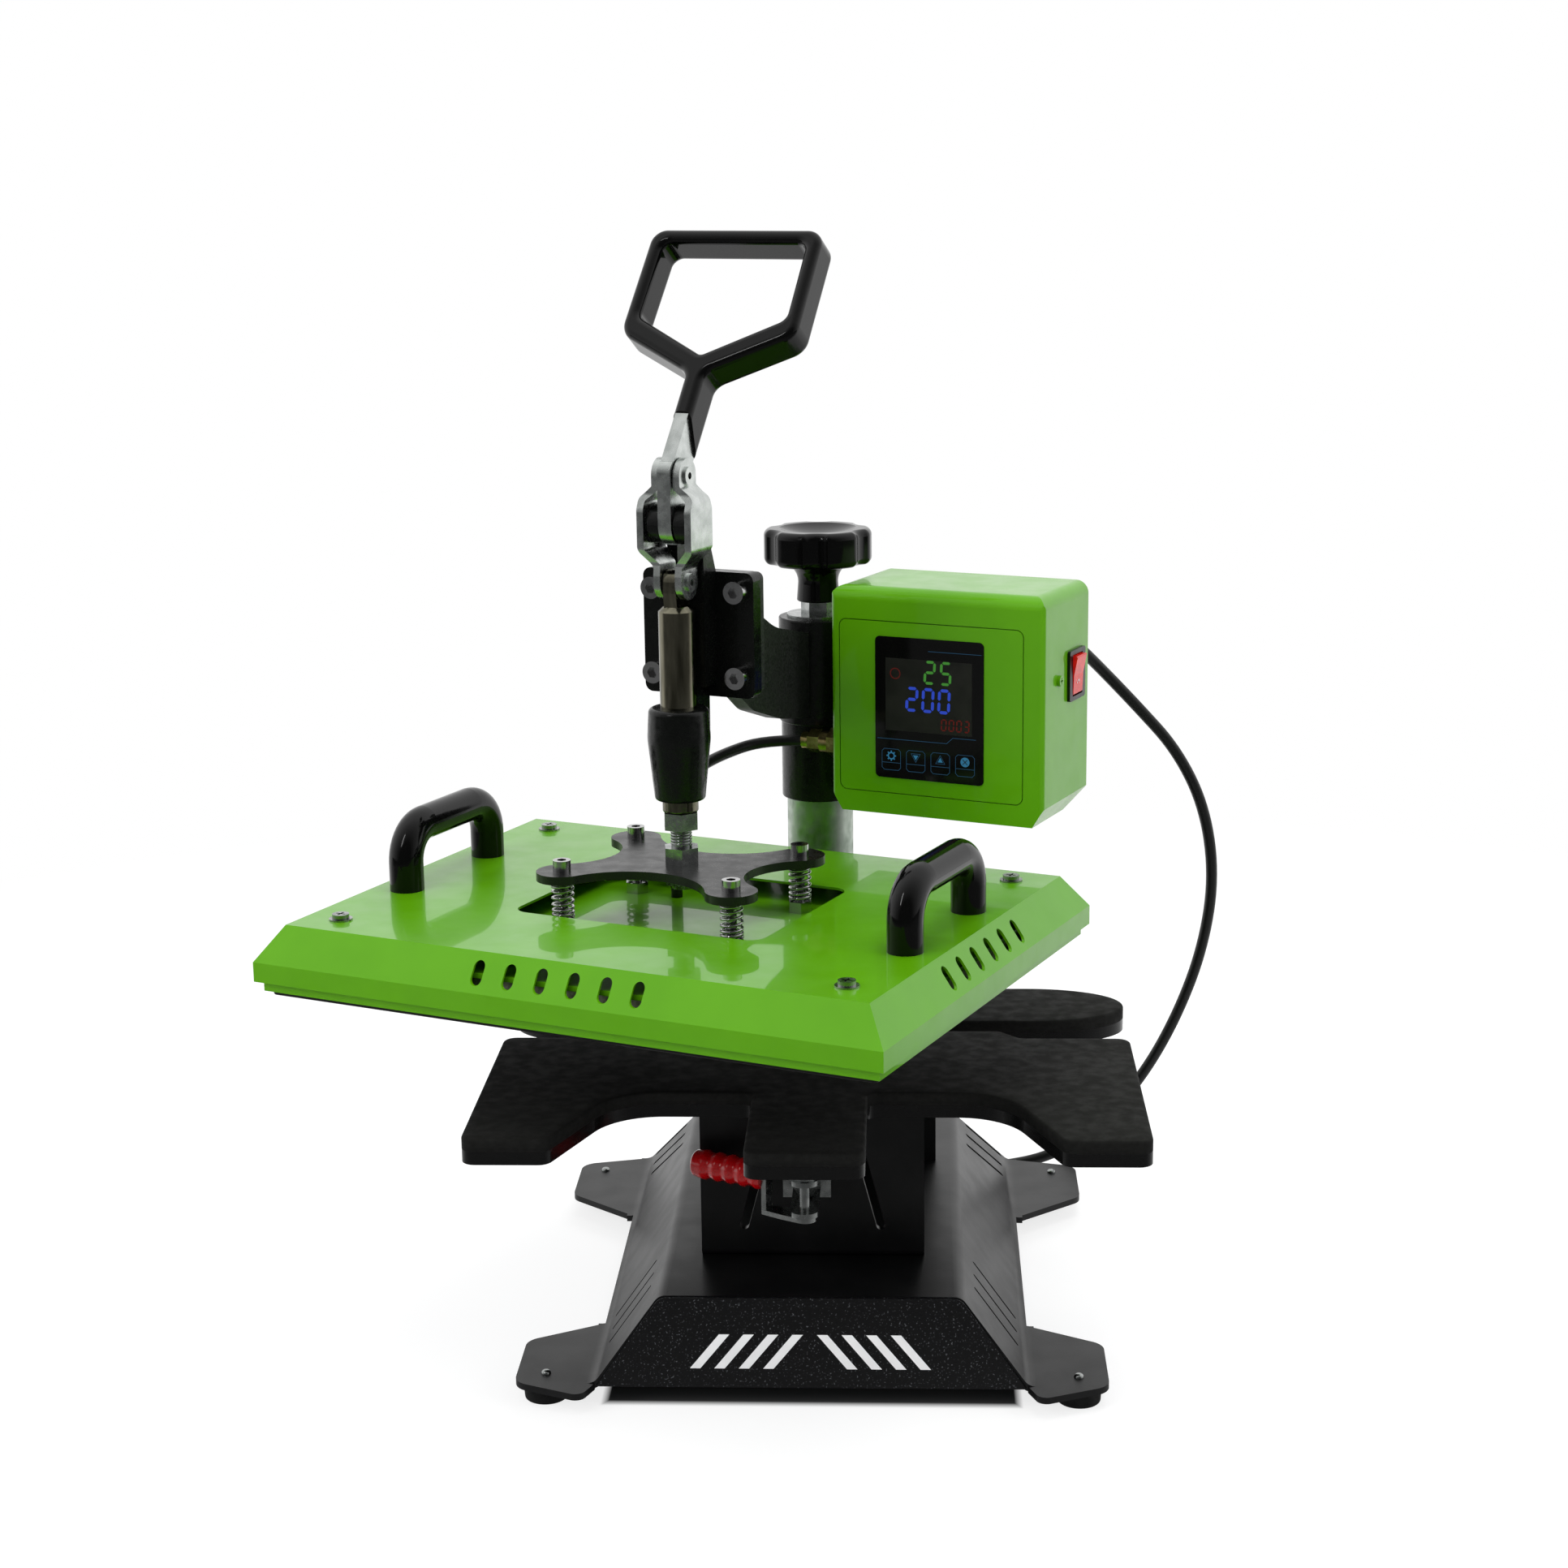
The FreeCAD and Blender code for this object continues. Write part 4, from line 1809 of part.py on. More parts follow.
# Plug on the end of the tail: moulded body, tapered neck and three pins
plug_y = "coil_y + coil_radius"
plug_x = "coil_x + coil_tail"
plug_z = "cord_radius + coil_pitch"
neck = turned("plug_neck", [
    ("0", "0"),
    ("5.2", "0", "1"),
    ("7", "14"),
    ("0", "14"),
])
put(neck, plug_x, plug_y, plug_z, TURNS["X"])
moulding = slab("plug_moulding", "XY", [[
    (plug_x + " + 12", plug_y + " - 8", "4"),
    (plug_x + " + 20", plug_y + " - 13", "5"),
    (plug_x + " + 40", plug_y + " - 14", "2"),
    (plug_x + " + 40", plug_y + " + 14", "2"),
    (plug_x + " + 20", plug_y + " + 13", "5"),
    (plug_x + " + 12", plug_y + " + 8", "4"),
]], plug_z + " - 11", plug_z + " + 11")
rounded(moulding, "3", lambda edge: abs(abs(edge.CenterOfMass.z - value(plug_z)) - 11) < 0.01)
pins = [rod("2.4", plug_x + " + 39", plug_x + " + 58", plug_y, plug_z + " - 5", "X")]
for side in ("+", "-"):
    pins.append(block(plug_x + " + 39", plug_x + " + 57", "%s %s 6.35 - 0.75" % (plug_y, side),
                      "%s %s 6.35 + 0.75" % (plug_y, side), plug_z + " - 0.5", plug_z + " + 5.5"))
node("power_plug", [joined("plug_piece", [neck, moulding] + pins)])

# Every object has to be sound before anything is written
doc.recompute()
for made in doc.Objects:
    if "Invalid" in made.State or "Error" in made.State:
        raise RuntimeError("%s failed: %s" % (made.Label, made.State))
for made in nodes:
    if made.Shape.isNull() or not made.Shape.isValid() or not made.Shape.Solids:
        raise RuntimeError("%s has no sound solid" % made.Label)
for made in nodes:
    made.Shape.exportStep("parts/%s.step" % made.Label)
print(len(nodes), "nodes written")
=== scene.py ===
import math

import bmesh
import bpy
from mathutils import Matrix, Vector


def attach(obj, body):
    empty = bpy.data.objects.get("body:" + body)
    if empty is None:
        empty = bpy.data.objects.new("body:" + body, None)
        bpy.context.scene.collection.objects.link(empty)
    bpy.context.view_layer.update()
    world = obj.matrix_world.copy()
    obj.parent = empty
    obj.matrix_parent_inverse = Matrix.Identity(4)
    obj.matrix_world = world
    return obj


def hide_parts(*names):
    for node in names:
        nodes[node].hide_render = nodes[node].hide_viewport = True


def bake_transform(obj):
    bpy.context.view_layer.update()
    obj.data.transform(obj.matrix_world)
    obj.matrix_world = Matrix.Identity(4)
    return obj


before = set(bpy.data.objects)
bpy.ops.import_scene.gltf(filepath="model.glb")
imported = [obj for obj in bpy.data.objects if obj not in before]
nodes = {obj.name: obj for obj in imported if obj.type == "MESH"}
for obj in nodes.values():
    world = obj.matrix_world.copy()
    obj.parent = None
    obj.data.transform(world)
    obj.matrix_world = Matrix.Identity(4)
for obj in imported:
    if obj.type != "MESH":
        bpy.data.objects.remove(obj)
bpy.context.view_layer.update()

# Combo heat press: a swing-away head with a heating plate hangs over a butterfly-shaped
# board and an oval board. Metres, +X right, +Y away from the operator, +Z up.
# The head stands turned by head_turn about the post, as in the frame.


# Camera: it stands in front of the press, a little to the right, and looks slightly down.
# Its field of view is the photograph's, which is square.
camera_place = Vector((0.0589, -1.6574, 0.7121))
camera_turn = -0.047
camera_dip = 0.228
camera_tilt = -0.013
photo_side = 1932
focal_pixels = 3442.8
ahead = Vector((
    math.sin(camera_turn) * math.cos(camera_dip),
    math.cos(camera_turn) * math.cos(camera_dip),
    -math.sin(camera_dip),
))
level = Vector((math.cos(camera_turn), -math.sin(camera_turn), 0))
over = level.cross(ahead)
right = level * math.cos(camera_tilt) + over * math.sin(camera_tilt)
up = over * math.cos(camera_tilt) - level * math.sin(camera_tilt)
camera_data = bpy.data.cameras.new("camera")
camera_data.sensor_width = 36
camera_data.lens = camera_data.sensor_width * focal_pixels / photo_side
camera = bpy.data.objects.new("camera", camera_data)
camera_axes = Matrix((right, up, -ahead)).transposed()
camera.matrix_world = Matrix.Translation(camera_place) @ camera_axes.to_4x4()
bpy.context.scene.collection.objects.link(camera)
bpy.context.scene.camera = camera
bpy.context.scene.view_settings.view_transform = "Standard"


# Studio: a pale floor that runs out into a white background. The camera sees that white
# all round. The mirroring surfaces see it behind the press, and a dim room and floor towards
# the operator, so that gloss and metal keep their contrast. Other rays see the plain room.
def computed(tree, operation, first, second):
    """One value worked out from two."""
    made = tree.nodes.new("ShaderNodeMath")
    made.operation = operation
    tree.links.new(first, made.inputs[0])
    tree.links.new(second, made.inputs[1])
    return made.outputs[0]


def ranged(tree, amount, low, high, start=0, stop=1):
    """A value that runs from start to stop while the amount runs from low to high."""
    span = tree.nodes.new("ShaderNodeMapRange")
    span.inputs["From Min"].default_value = low
    span.inputs["From Max"].default_value = high
    span.inputs["To Min"].default_value = start
    span.inputs["To Max"].default_value = stop
    tree.links.new(amount, span.inputs["Value"])
    return span.outputs["Result"]


def mixed(tree, amount, first, second):
    """The first shader where the amount is zero, and the second where it is one."""
    mix = tree.nodes.new("ShaderNodeMixShader")
    tree.links.new(amount, mix.inputs[0])
    tree.links.new(first, mix.inputs[1])
    tree.links.new(second, mix.inputs[2])
    return mix.outputs[0]


def plain(tree, kind, colour=(1, 1, 1), strength=None):
    """A background, emission or diffuse shader in one colour."""
    made = tree.nodes.new("ShaderNode" + kind)
    made.inputs["Color"].default_value = (*colour, 1)
    if strength is not None:
        made.inputs["Strength"].default_value = strength
    return made


def shows_background(tree):
    """A socket that is one for the rays that see the white background."""
    rays = tree.nodes.new("ShaderNodeLightPath")
    either = computed(tree, "MAXIMUM", rays.outputs["Is Camera Ray"], rays.outputs["Is Glossy Ray"])
    return computed(tree, "MAXIMUM", either, rays.outputs["Is Transmission Ray"])


room_strength = 0.5
mirrored_dim = 0.06
mirrored_from = -0.8
mirrored_to = 0.1
world = bpy.data.worlds.new("studio")
bpy.context.scene.world = world
world.use_nodes = True
sky = world.node_tree
sky.nodes.clear()
room = plain(sky, "Background", (0.96, 0.98, 1), room_strength)
white = plain(sky, "Background", strength=1)
mirrored_white = plain(sky, "Background", strength=1)
heading = sky.nodes.new("ShaderNodeTexCoord")
heading_parts = sky.nodes.new("ShaderNodeSeparateXYZ")
sky.links.new(heading.outputs["Generated"], heading_parts.inputs[0])
sky.links.new(ranged(sky, heading_parts.outputs["Y"], mirrored_from, mirrored_to, mirrored_dim, 1),
              mirrored_white.inputs["Color"])
camera_rays = sky.nodes.new("ShaderNodeLightPath")
shown_sky = mixed(sky, camera_rays.outputs["Is Camera Ray"], mirrored_white.outputs[0], white.outputs[0])
sky_out = sky.nodes.new("ShaderNodeOutputWorld")
sky.links.new(mixed(sky, shows_background(sky), room.outputs[0], shown_sky), sky_out.inputs["Surface"])


# Floor: matt and pale, and it fades into the white background some way off. Inside the base's
# outline it has a painted shadow, a dark paint in place of the shade under the sheet, and the
# mirroring surfaces see that dark paint in front of the press too.
floor_half = 8
floor_tone = 0.8
shown_tone = 0.32
shown_glow = 0.78
painted_shade_tone = 0.12
fade_start = 0.55
fade_stop = 1.3
under_base = (0.122, 0.175)
under_rim = 0.96
front_start = 0.5
front_stop = -0.4
floor_mesh = bpy.data.meshes.new("studio_floor")
floor_mesh.from_pydata([
    (-floor_half, -floor_half, 0), (floor_half, -floor_half, 0),
    (floor_half, floor_half, 0), (-floor_half, floor_half, 0)], [], [(0, 1, 2, 3)])
floor = bpy.data.objects.new("studio_floor", floor_mesh)
bpy.context.scene.collection.objects.link(floor)
floor_paint = bpy.data.materials.new("studio_floor_paint")
floor_paint.use_nodes = True
tree = floor_paint.node_tree
tree.nodes.clear()
paint = plain(tree, "BsdfDiffuse", (floor_tone,) * 3)
thin_paint = plain(tree, "BsdfDiffuse", (shown_tone,) * 3)
painted_shade_paint = plain(tree, "BsdfDiffuse", (painted_shade_tone,) * 3)
shown = tree.nodes.new("ShaderNodeAddShader")
tree.links.new(thin_paint.outputs[0], shown.inputs[0])
tree.links.new(plain(tree, "Emission", strength=shown_glow).outputs[0], shown.inputs[1])
place = tree.nodes.new("ShaderNodeTexCoord")
distance = tree.nodes.new("ShaderNodeVectorMath")
distance.operation = "LENGTH"
tree.links.new(place.outputs["Object"], distance.inputs[0])
faded = mixed(tree, ranged(tree, distance.outputs["Value"], fade_start, fade_stop),
              shown.outputs[0], plain(tree, "Emission", strength=1).outputs[0])
spread = tree.nodes.new("ShaderNodeVectorMath")
spread.operation = "DIVIDE"
spread.inputs[1].default_value = (*under_base, 1)
tree.links.new(place.outputs["Object"], spread.inputs[0])
folded = tree.nodes.new("ShaderNodeVectorMath")
folded.operation = "ABSOLUTE"
tree.links.new(spread.outputs["Vector"], folded.inputs[0])
sides = tree.nodes.new("ShaderNodeSeparateXYZ")
tree.links.new(folded.outputs["Vector"], sides.inputs[0])
widest = computed(tree, "MAXIMUM", sides.outputs["X"], sides.outputs["Y"])
# Inside the base's outline the dark paint is a painted shadow, where the sheet would shade the floor.
painted_shadow_under_base = mixed(tree, ranged(tree, widest, under_rim, 1), painted_shade_paint.outputs[0], faded)
chosen = mixed(tree, shows_background(tree), paint.outputs[0], painted_shadow_under_base)
front = tree.nodes.new("ShaderNodeSeparateXYZ")
tree.links.new(place.outputs["Object"], front.inputs[0])
rays = tree.nodes.new("ShaderNodeLightPath")
dimmed = computed(tree, "MULTIPLY", ranged(tree, front.outputs["Y"], front_start, front_stop),
                  rays.outputs["Is Glossy Ray"])
floor_out = tree.nodes.new("ShaderNodeOutputMaterial")
tree.links.new(mixed(tree, dimmed, chosen, painted_shade_paint.outputs[0]), floor_out.inputs["Surface"])
floor_mesh.materials.append(floor_paint)


# Lamps: wide soft ones light the press from above, from both sides and from behind, and
# one tall narrow lamp, the only one that surfaces mirror, draws the crisp highlights.
def lamp(name, place, target, wide, high, power, tint, mirrored=False):
    """A soft box that faces the target; surfaces mirror it only if mirrored is set."""
    data = bpy.data.lights.new(name, "AREA")
    data.shape = "RECTANGLE"
    data.size = wide
    data.size_y = high
    data.energy = power
    data.color = tint
    made = bpy.data.objects.new(name, data)
    made.location = place
    made.rotation_euler = (Vector(target) - Vector(place)).to_track_quat("-Z", "Y").to_euler()
    made.visible_glossy = mirrored
    bpy.context.scene.collection.objects.link(made)


press_middle = (0, 0, 0.3)
lamp("top_lamp", (0.1, -0.3, 2.4), press_middle, 1.6, 1.2, 26, (1, 0.99, 0.97))
lamp("left_lamp", (-2.1, -1.3, 1.5), press_middle, 0.8, 1.6, 20, (1, 1, 1))
lamp("right_lamp", (2.2, -1.0, 1.6), press_middle, 0.8, 1.6, 15, (1, 1, 1))
lamp("back_lamp", (0.3, 2.4, 1.8), press_middle, 1.6, 1.0, 22, (0.98, 0.99, 1))
lamp("edge_lamp", (-1.2, -1.6, 1.9), press_middle, 0.16, 1.1, 5, (1, 1, 1), mirrored=True)


# Base: one steel sheet folded into a low bench with four tabs, closed at the back by a
# slanting panel, in black powder coat with a fine wrinkle. The bridge bracket and the
# oval board's support are bolted to it and have the same coat.
def new_finish(name, colour, rough, metal=0, coat=0, shine=0.5):
    """A material; coat is a clear gloss over it and shine how strongly the surface mirrors."""
    made = bpy.data.materials.new(name)
    made.use_nodes = True
    shader = made.node_tree.nodes["Principled BSDF"]
    shader.inputs["Base Color"].default_value = (*colour, 1)
    shader.inputs["Roughness"].default_value = rough
    shader.inputs["Metallic"].default_value = metal
    shader.inputs["Coat Weight"].default_value = coat
    shader.inputs["Coat Roughness"].default_value = 0.03
    shader.inputs["Specular IOR Level"].default_value = shine
    return made


def speckle(made, size, detail=3, stretch=(1, 1, 1)):
    """Noise whose lumps are about size metres across."""
    tree = made.node_tree
    places = tree.nodes.new("ShaderNodeTexCoord")
    pulled = tree.nodes.new("ShaderNodeMapping")
    pulled.inputs["Scale"].default_value = stretch
    noise = tree.nodes.new("ShaderNodeTexNoise")
    noise.inputs["Scale"].default_value = 1 / size
    noise.inputs["Detail"].default_value = detail
    tree.links.new(places.outputs["Object"], pulled.inputs["Vector"])
    tree.links.new(pulled.outputs["Vector"], noise.inputs["Vector"])
    return noise.outputs["Fac"]


def shade(made, amount, target, low, high, start=0.35, stop=0.65):
    """Leads a noise to a socket of the shader as values or colours from low to high."""
    tree = made.node_tree
    socket = tree.nodes["Principled BSDF"].inputs[target]
    if isinstance(low, tuple):
        steps = tree.nodes.new("ShaderNodeValToRGB")
        steps.color_ramp.elements[0].position = start
        steps.color_ramp.elements[0].color = (*low, 1)
        steps.color_ramp.elements[1].position = stop
        steps.color_ramp.elements[1].color = (*high, 1)
        tree.links.new(amount, steps.inputs["Fac"])
        tree.links.new(steps.outputs["Color"], socket)
        return
    tree.links.new(ranged(tree, amount, start, stop, low, high), socket)


def emboss(made, height, deep, strength=1):
    """Raises the surface by a noise, over the bumps that it already has."""
    tree = made.node_tree
    socket = tree.nodes["Principled BSDF"].inputs["Normal"]
    bump = tree.nodes.new("ShaderNodeBump")
    bump.inputs["Strength"].default_value = strength
    bump.inputs["Distance"].default_value = deep
    if socket.links:
        tree.links.new(socket.links[0].from_socket, bump.inputs["Normal"])
    tree.links.new(height, bump.inputs["Height"])
    tree.links.new(bump.outputs["Normal"], socket)


def dress(made, slot, *names):
    """Gives frame nodes their material."""
    for name in names:
        nodes[name].data.materials.clear()
        nodes[name].data.materials.append(made)


def soften(width, *names):
    """Rounds the edges of frame nodes a little, so that they catch the light."""
    for name in names:
        rounding = nodes[name].modifiers.new("edge_rounding", "BEVEL")
        rounding.width = width
        rounding.segments = 2
        rounding.limit_method = "ANGLE"
        rounding.angle_limit = math.radians(40)
        rounding.harden_normals = True


sheet_edge = 0.0006
wrinkle_black = new_finish("wrinkle_black", (0.005, 0.005, 0.0055), 0.36, shine=0.35)
shade(wrinkle_black, speckle(wrinkle_black, 0.03), "Base Color",
      (0.0042, 0.0042, 0.0046), (0.007, 0.007, 0.0072))
shade(wrinkle_black, speckle(wrinkle_black, 0.02), "Roughness", 0.35, 0.4)
emboss(wrinkle_black, speckle(wrinkle_black, 0.0009, 2), 0.00005, 0.5)
dress(wrinkle_black, "black_texture", "base_shell", "rear_panel")
dress(wrinkle_black, "black_gloss", "bridge_bracket", "rear_support")
soften(sheet_edge, "base_shell", "rear_panel", "bridge_bracket", "rear_support")


# Front panel: a black sheet with coarse glitter in its coat, and slanting white bars that
# are let into it flush, in a matt enamel.
glitter_black = new_finish("glitter_black", (0.004, 0.004, 0.0045), 0.34, shine=0.3)
shade(glitter_black, speckle(glitter_black, 0.0011, 1), "Base Color",
      (0.004, 0.004, 0.0045), (0.11, 0.115, 0.125), 0.64, 0.75)
shade(glitter_black, speckle(glitter_black, 0.015), "Roughness", 0.28, 0.4)
emboss(glitter_black, speckle(glitter_black, 0.0011, 1), 0.00014, 0.8)
dress(glitter_black, "sparkle_black", "front_panel")
inlay_white = new_finish("inlay_white", (0.98, 0.98, 0.98), 0.4)
shade(inlay_white, speckle(inlay_white, 0.01), "Base Color", (0.96, 0.96, 0.96), (1, 1, 1))
emboss(inlay_white, speckle(inlay_white, 0.0009), 0.00003, 0.4)
dress(inlay_white, "white_inlay", "panel_inlay")


# Feet: moulded rubber under each tab, almost black and dull, with a fine grain. A small
# zinc screw holds each one.
foot_rubber = new_finish("foot_rubber", (0.005, 0.005, 0.005), 0.6, shine=0.3)
shade(foot_rubber, speckle(foot_rubber, 0.004), "Roughness", 0.5, 0.7)
emboss(foot_rubber, speckle(foot_rubber, 0.0006), 0.00006, 0.5)
dress(foot_rubber, "foot_rubber", "rubber_feet")
soften(0.0005, "rubber_feet")


# Bolts, screws and nuts: steel in bright zinc, a little uneven. The pressure screw, its nut
# and washer, the latch's pin and the bush in the post look the same.
fastener_edge = 0.00025
bright_zinc = new_finish("bright_zinc", (0.36, 0.38, 0.37), 0.2, metal=1)
shade(bright_zinc, speckle(bright_zinc, 0.006), "Base Color", (0.27, 0.285, 0.28), (0.44, 0.455, 0.445))
shade(bright_zinc, speckle(bright_zinc, 0.002), "Roughness", 0.16, 0.28)
emboss(bright_zinc, speckle(bright_zinc, 0.0012), 0.00003, 0.4)
dress(bright_zinc, "zinc", "foot_screws", "base_bolts", "board_screws", "cover_screws",
      "thrust_washer", "pressure_spindle", "latch_plunger", "post_nut")
dress(bright_zinc, "nickel", "guide_bush")
soften(fastener_edge, "base_bolts", "board_screws", "cover_screws", "post_nut", "pressure_spindle")


# Post: a hot-dipped galvanised tube with a welded foot flange, mottled in a slightly green
# grey, as it shows in the photograph.
galvanised = new_finish("galvanised", (0.26, 0.32, 0.26), 0.4, metal=1)
shade(galvanised, speckle(galvanised, 0.011, 6), "Base Color",
      (0.3, 0.36, 0.3), (0.46, 0.52, 0.45), 0.3, 0.7)
shade(galvanised, speckle(galvanised, 0.006, 4), "Roughness", 0.28, 0.55)
emboss(galvanised, speckle(galvanised, 0.002), 0.00006, 0.6)
dress(galvanised, "galvanised", "post_tube")


# Boards: pressed steel plates in glossy black, the butterfly-shaped one in front on the
# bridge bracket and the oval one behind it on its own support.
board_gloss = new_finish("board_gloss", (0.004, 0.004, 0.004), 0.22, shine=0.35)
shade(board_gloss, speckle(board_gloss, 0.02), "Roughness", 0.16, 0.28)
emboss(board_gloss, speckle(board_gloss, 0.003), 0.00003, 0.4)
dress(board_gloss, "black_gloss", "butterfly_board", "oval_board")
soften(0.0012, "butterfly_board", "oval_board")


# Pads: slabs of dense black foam glued on the boards, cut to the same outlines. Their
# edges are rolled and their tops a little crowned.
foam_grey = new_finish("foam_grey", (0.009, 0.009, 0.008), 0.9, shine=0.25)
shade(foam_grey, speckle(foam_grey, 0.003, 5), "Base Color",
      (0.007, 0.007, 0.0062), (0.0095, 0.0095, 0.0085))
shade(foam_grey, speckle(foam_grey, 0.008), "Roughness", 0.75, 0.95)
emboss(foam_grey, speckle(foam_grey, 0.0006, 2), 0.00003, 0.4)
pad_roll = 0.0017
roll_steps = 4
pad_crown = 0.0003
crown_run = 0.004
facing_up = 0.99
same_place = 1e-6
flat_angle = math.radians(1)


def foam_pad(name, board_node):
    """The frame's pad with its top rim rolled over in steps and a faint crown."""
    work = bmesh.new()
    work.from_mesh(nodes[board_node].data)
    bmesh.ops.remove_doubles(work, verts=work.verts, dist=same_place)
    bmesh.ops.dissolve_limit(work, angle_limit=flat_angle, verts=work.verts, edges=work.edges)
    tops = [face for face in work.faces if face.normal.z > facing_up]
    for corner in {corner for face in tops for corner in face.verts}:
        corner.co.z -= pad_roll + pad_crown
    for number in range(roll_steps):
        before = math.pi / 2 * number / roll_steps
        after = math.pi / 2 * (number + 1) / roll_steps
        bmesh.ops.inset_region(
            work, faces=tops, use_even_offset=True,
            thickness=pad_roll * (math.cos(before) - math.cos(after)),
            depth=pad_roll * (math.sin(after) - math.sin(before)))
    bmesh.ops.inset_region(work, faces=tops, use_even_offset=True, thickness=crown_run, depth=pad_crown)
    for face in work.faces:
        face.smooth = True
    mesh = bpy.data.meshes.new(name)
    work.to_mesh(mesh)
    work.free()
    made = bpy.data.objects.new(name, mesh)
    bpy.context.scene.collection.objects.link(made)
    mesh.materials.append(foam_grey)
    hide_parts(board_node)
    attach(made, "base")


foam_pad("butterfly_foam", "butterfly_pad")
foam_pad("oval_foam", "oval_pad")


# Sliding latch under the butterfly board's nose: a zinc bracket and handle, whose grip is
# a dipped red sleeve with finger waves.
dress(bright_zinc, "zinc", "latch_body", "latch_handle")
soften(0.0004, "latch_body", "latch_handle")
grip_red = new_finish("grip_red", (0.34, 0.0012, 0.003), 0.2, coat=0.9, shine=0.3)
shade(grip_red, speckle(grip_red, 0.008), "Base Color", (0.31, 0.001, 0.0025), (0.38, 0.0015, 0.0035))
shade(grip_red, speckle(grip_red, 0.003), "Roughness", 0.2, 0.3)
dress(grip_red, "red_vinyl", "latch_grip")


# Swing sleeve, arm and toggle casting: rough castings and a plate in black and dark grey
# stove enamel, screwed together with chromed cap screws.
cast_black = new_finish("cast_black", (0.003, 0.0034, 0.003), 0.3, shine=0.3)
shade(cast_black, speckle(cast_black, 0.004), "Roughness", 0.16, 0.3)
emboss(cast_black, speckle(cast_black, 0.004, 3), 0.0003, 0.5)
dress(cast_black, "black_gloss", "toggle_casting", "swing_sleeve")
soften(0.0008, "toggle_casting", "swing_sleeve")
arm_grey = new_finish("arm_grey", (0.01, 0.011, 0.01), 0.45, shine=0.3)
shade(arm_grey, speckle(arm_grey, 0.0012, 1), "Base Color", (0.008, 0.0085, 0.008), (0.03, 0.031, 0.03))
emboss(arm_grey, speckle(arm_grey, 0.001), 0.0002, 0.8)
dress(arm_grey, "grey_texture", "head_arm")
soften(0.0005, "head_arm")
chrome_steel = new_finish("chrome_steel", (0.5, 0.5, 0.5), 0.14, metal=1)
shade(chrome_steel, speckle(chrome_steel, 0.003), "Roughness", 0.08, 0.22)
emboss(chrome_steel, speckle(chrome_steel, 0.001), 0.00002, 0.4)
dress(chrome_steel, "chrome_steel", "flange_screws", "spring_bolts")
soften(0.0003, "flange_screws", "spring_bolts")


# Toggle: two strips, two links and hollow rivets in a pale mottled zinc, and above them a
# bent loop dipped in glossy black vinyl. The pressure knob is as black and as glossy.
sheared_zinc = new_finish("sheared_zinc", (0.6, 0.63, 0.61), 0.26, metal=1)
shade(sheared_zinc, speckle(sheared_zinc, 0.009, 4), "Base Color", (0.5, 0.53, 0.51), (0.68, 0.71, 0.69))
shade(sheared_zinc, speckle(sheared_zinc, 0.004), "Roughness", 0.22, 0.32)
emboss(sheared_zinc, speckle(sheared_zinc, 0.002, 2), 0.00003, 0.5)
dress(sheared_zinc, "zinc", "handle_strips", "link_plates", "link_rivets", "pivot_rivet")
soften(0.0004, "handle_strips", "link_plates", "link_rivets", "pivot_rivet")
dip_black = new_finish("dip_black", (0.0015, 0.0015, 0.0015), 0.1, shine=0.32)
shade(dip_black, speckle(dip_black, 0.01), "Roughness", 0.07, 0.13)
emboss(dip_black, speckle(dip_black, 0.02, 2), 0.00012, 0.5)
dress(dip_black, "dip_black", "handle_grip")
dress(dip_black, "black_plastic", "pressure_knob")


# Plunger: a turned rod in dark nickel that slides in the casting's barrel, and the zinc
# stud on which the spider plate is locked between nuts. Between these the stud's thread
# is a ridge wound round it.
dark_nickel = new_finish("dark_nickel", (0.3, 0.28, 0.22), 0.16, metal=1)
shade(dark_nickel, speckle(dark_nickel, 0.006, 3, (1, 1, 0.15)), "Base Color",
      (0.1, 0.095, 0.065), (0.26, 0.245, 0.18))
shade(dark_nickel, speckle(dark_nickel, 0.004), "Roughness", 0.1, 0.22)
dress(dark_nickel, "nickel", "plunger_rod")
dress(bright_zinc, "zinc", "plunger_stud")
soften(0.0003, "plunger_stud")
post_back = 0.0884
head_turn = math.radians(23.63)
press_y = -0.0997


def swung(x, y, z):
    """A place on the head, given with the head straight over the base."""
    back = y - post_back
    return Vector((x * math.cos(head_turn) + back * math.sin(head_turn),
                   post_back - x * math.sin(head_turn) + back * math.cos(head_turn), z))


def new_piece(name, places, faces, finish):
    """A smooth piece from its points and faces, with its material."""
    mesh = bpy.data.meshes.new(name)
    mesh.from_pydata([tuple(place) for place in places], [], faces)
    mesh.polygons.foreach_set("use_smooth", [True] * len(mesh.polygons))
    mesh.materials.append(finish)
    made = bpy.data.objects.new(name, mesh)
    bpy.context.scene.collection.objects.link(made)
    return made


stud_radius = 0.006
stud_pitch = 0.00175
stud_low = 0.3107
stud_high = 0.3195
thread_steps = 28
thread_ridge = 0.00035
thread_root = -0.0001
root_share = 0.45
ridge_share = 0.1


def thread(name, low, high, radius, pitch, finish):
    """The ridge of a screw thread on the press axis, wound as one strip."""
    axis = swung(0, press_y, 0)
    places = []
    faces = []
    count = int((high - low) / pitch * thread_steps)
    for number in range(count + 1):
        turn = 2 * math.pi * number / thread_steps
        level = low + pitch * number / thread_steps
        for out, rise in ((thread_root, -root_share), (thread_ridge, -ridge_share),
                          (thread_ridge, ridge_share), (thread_root, root_share)):
            across = radius + out
            places.append(axis + Vector((across * math.cos(turn), across * math.sin(turn),
                                         level + rise * pitch)))
        if number:
            for side in range(3):
                start = 4 * (number - 1) + side
                faces.append((start, start + 4, start + 5, start + 1))
    return new_piece(name, places, faces, finish)


stud_thread = thread("stud_thread", stud_low, stud_high, stud_radius, stud_pitch, bright_zinc)
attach(stud_thread, "plunger")


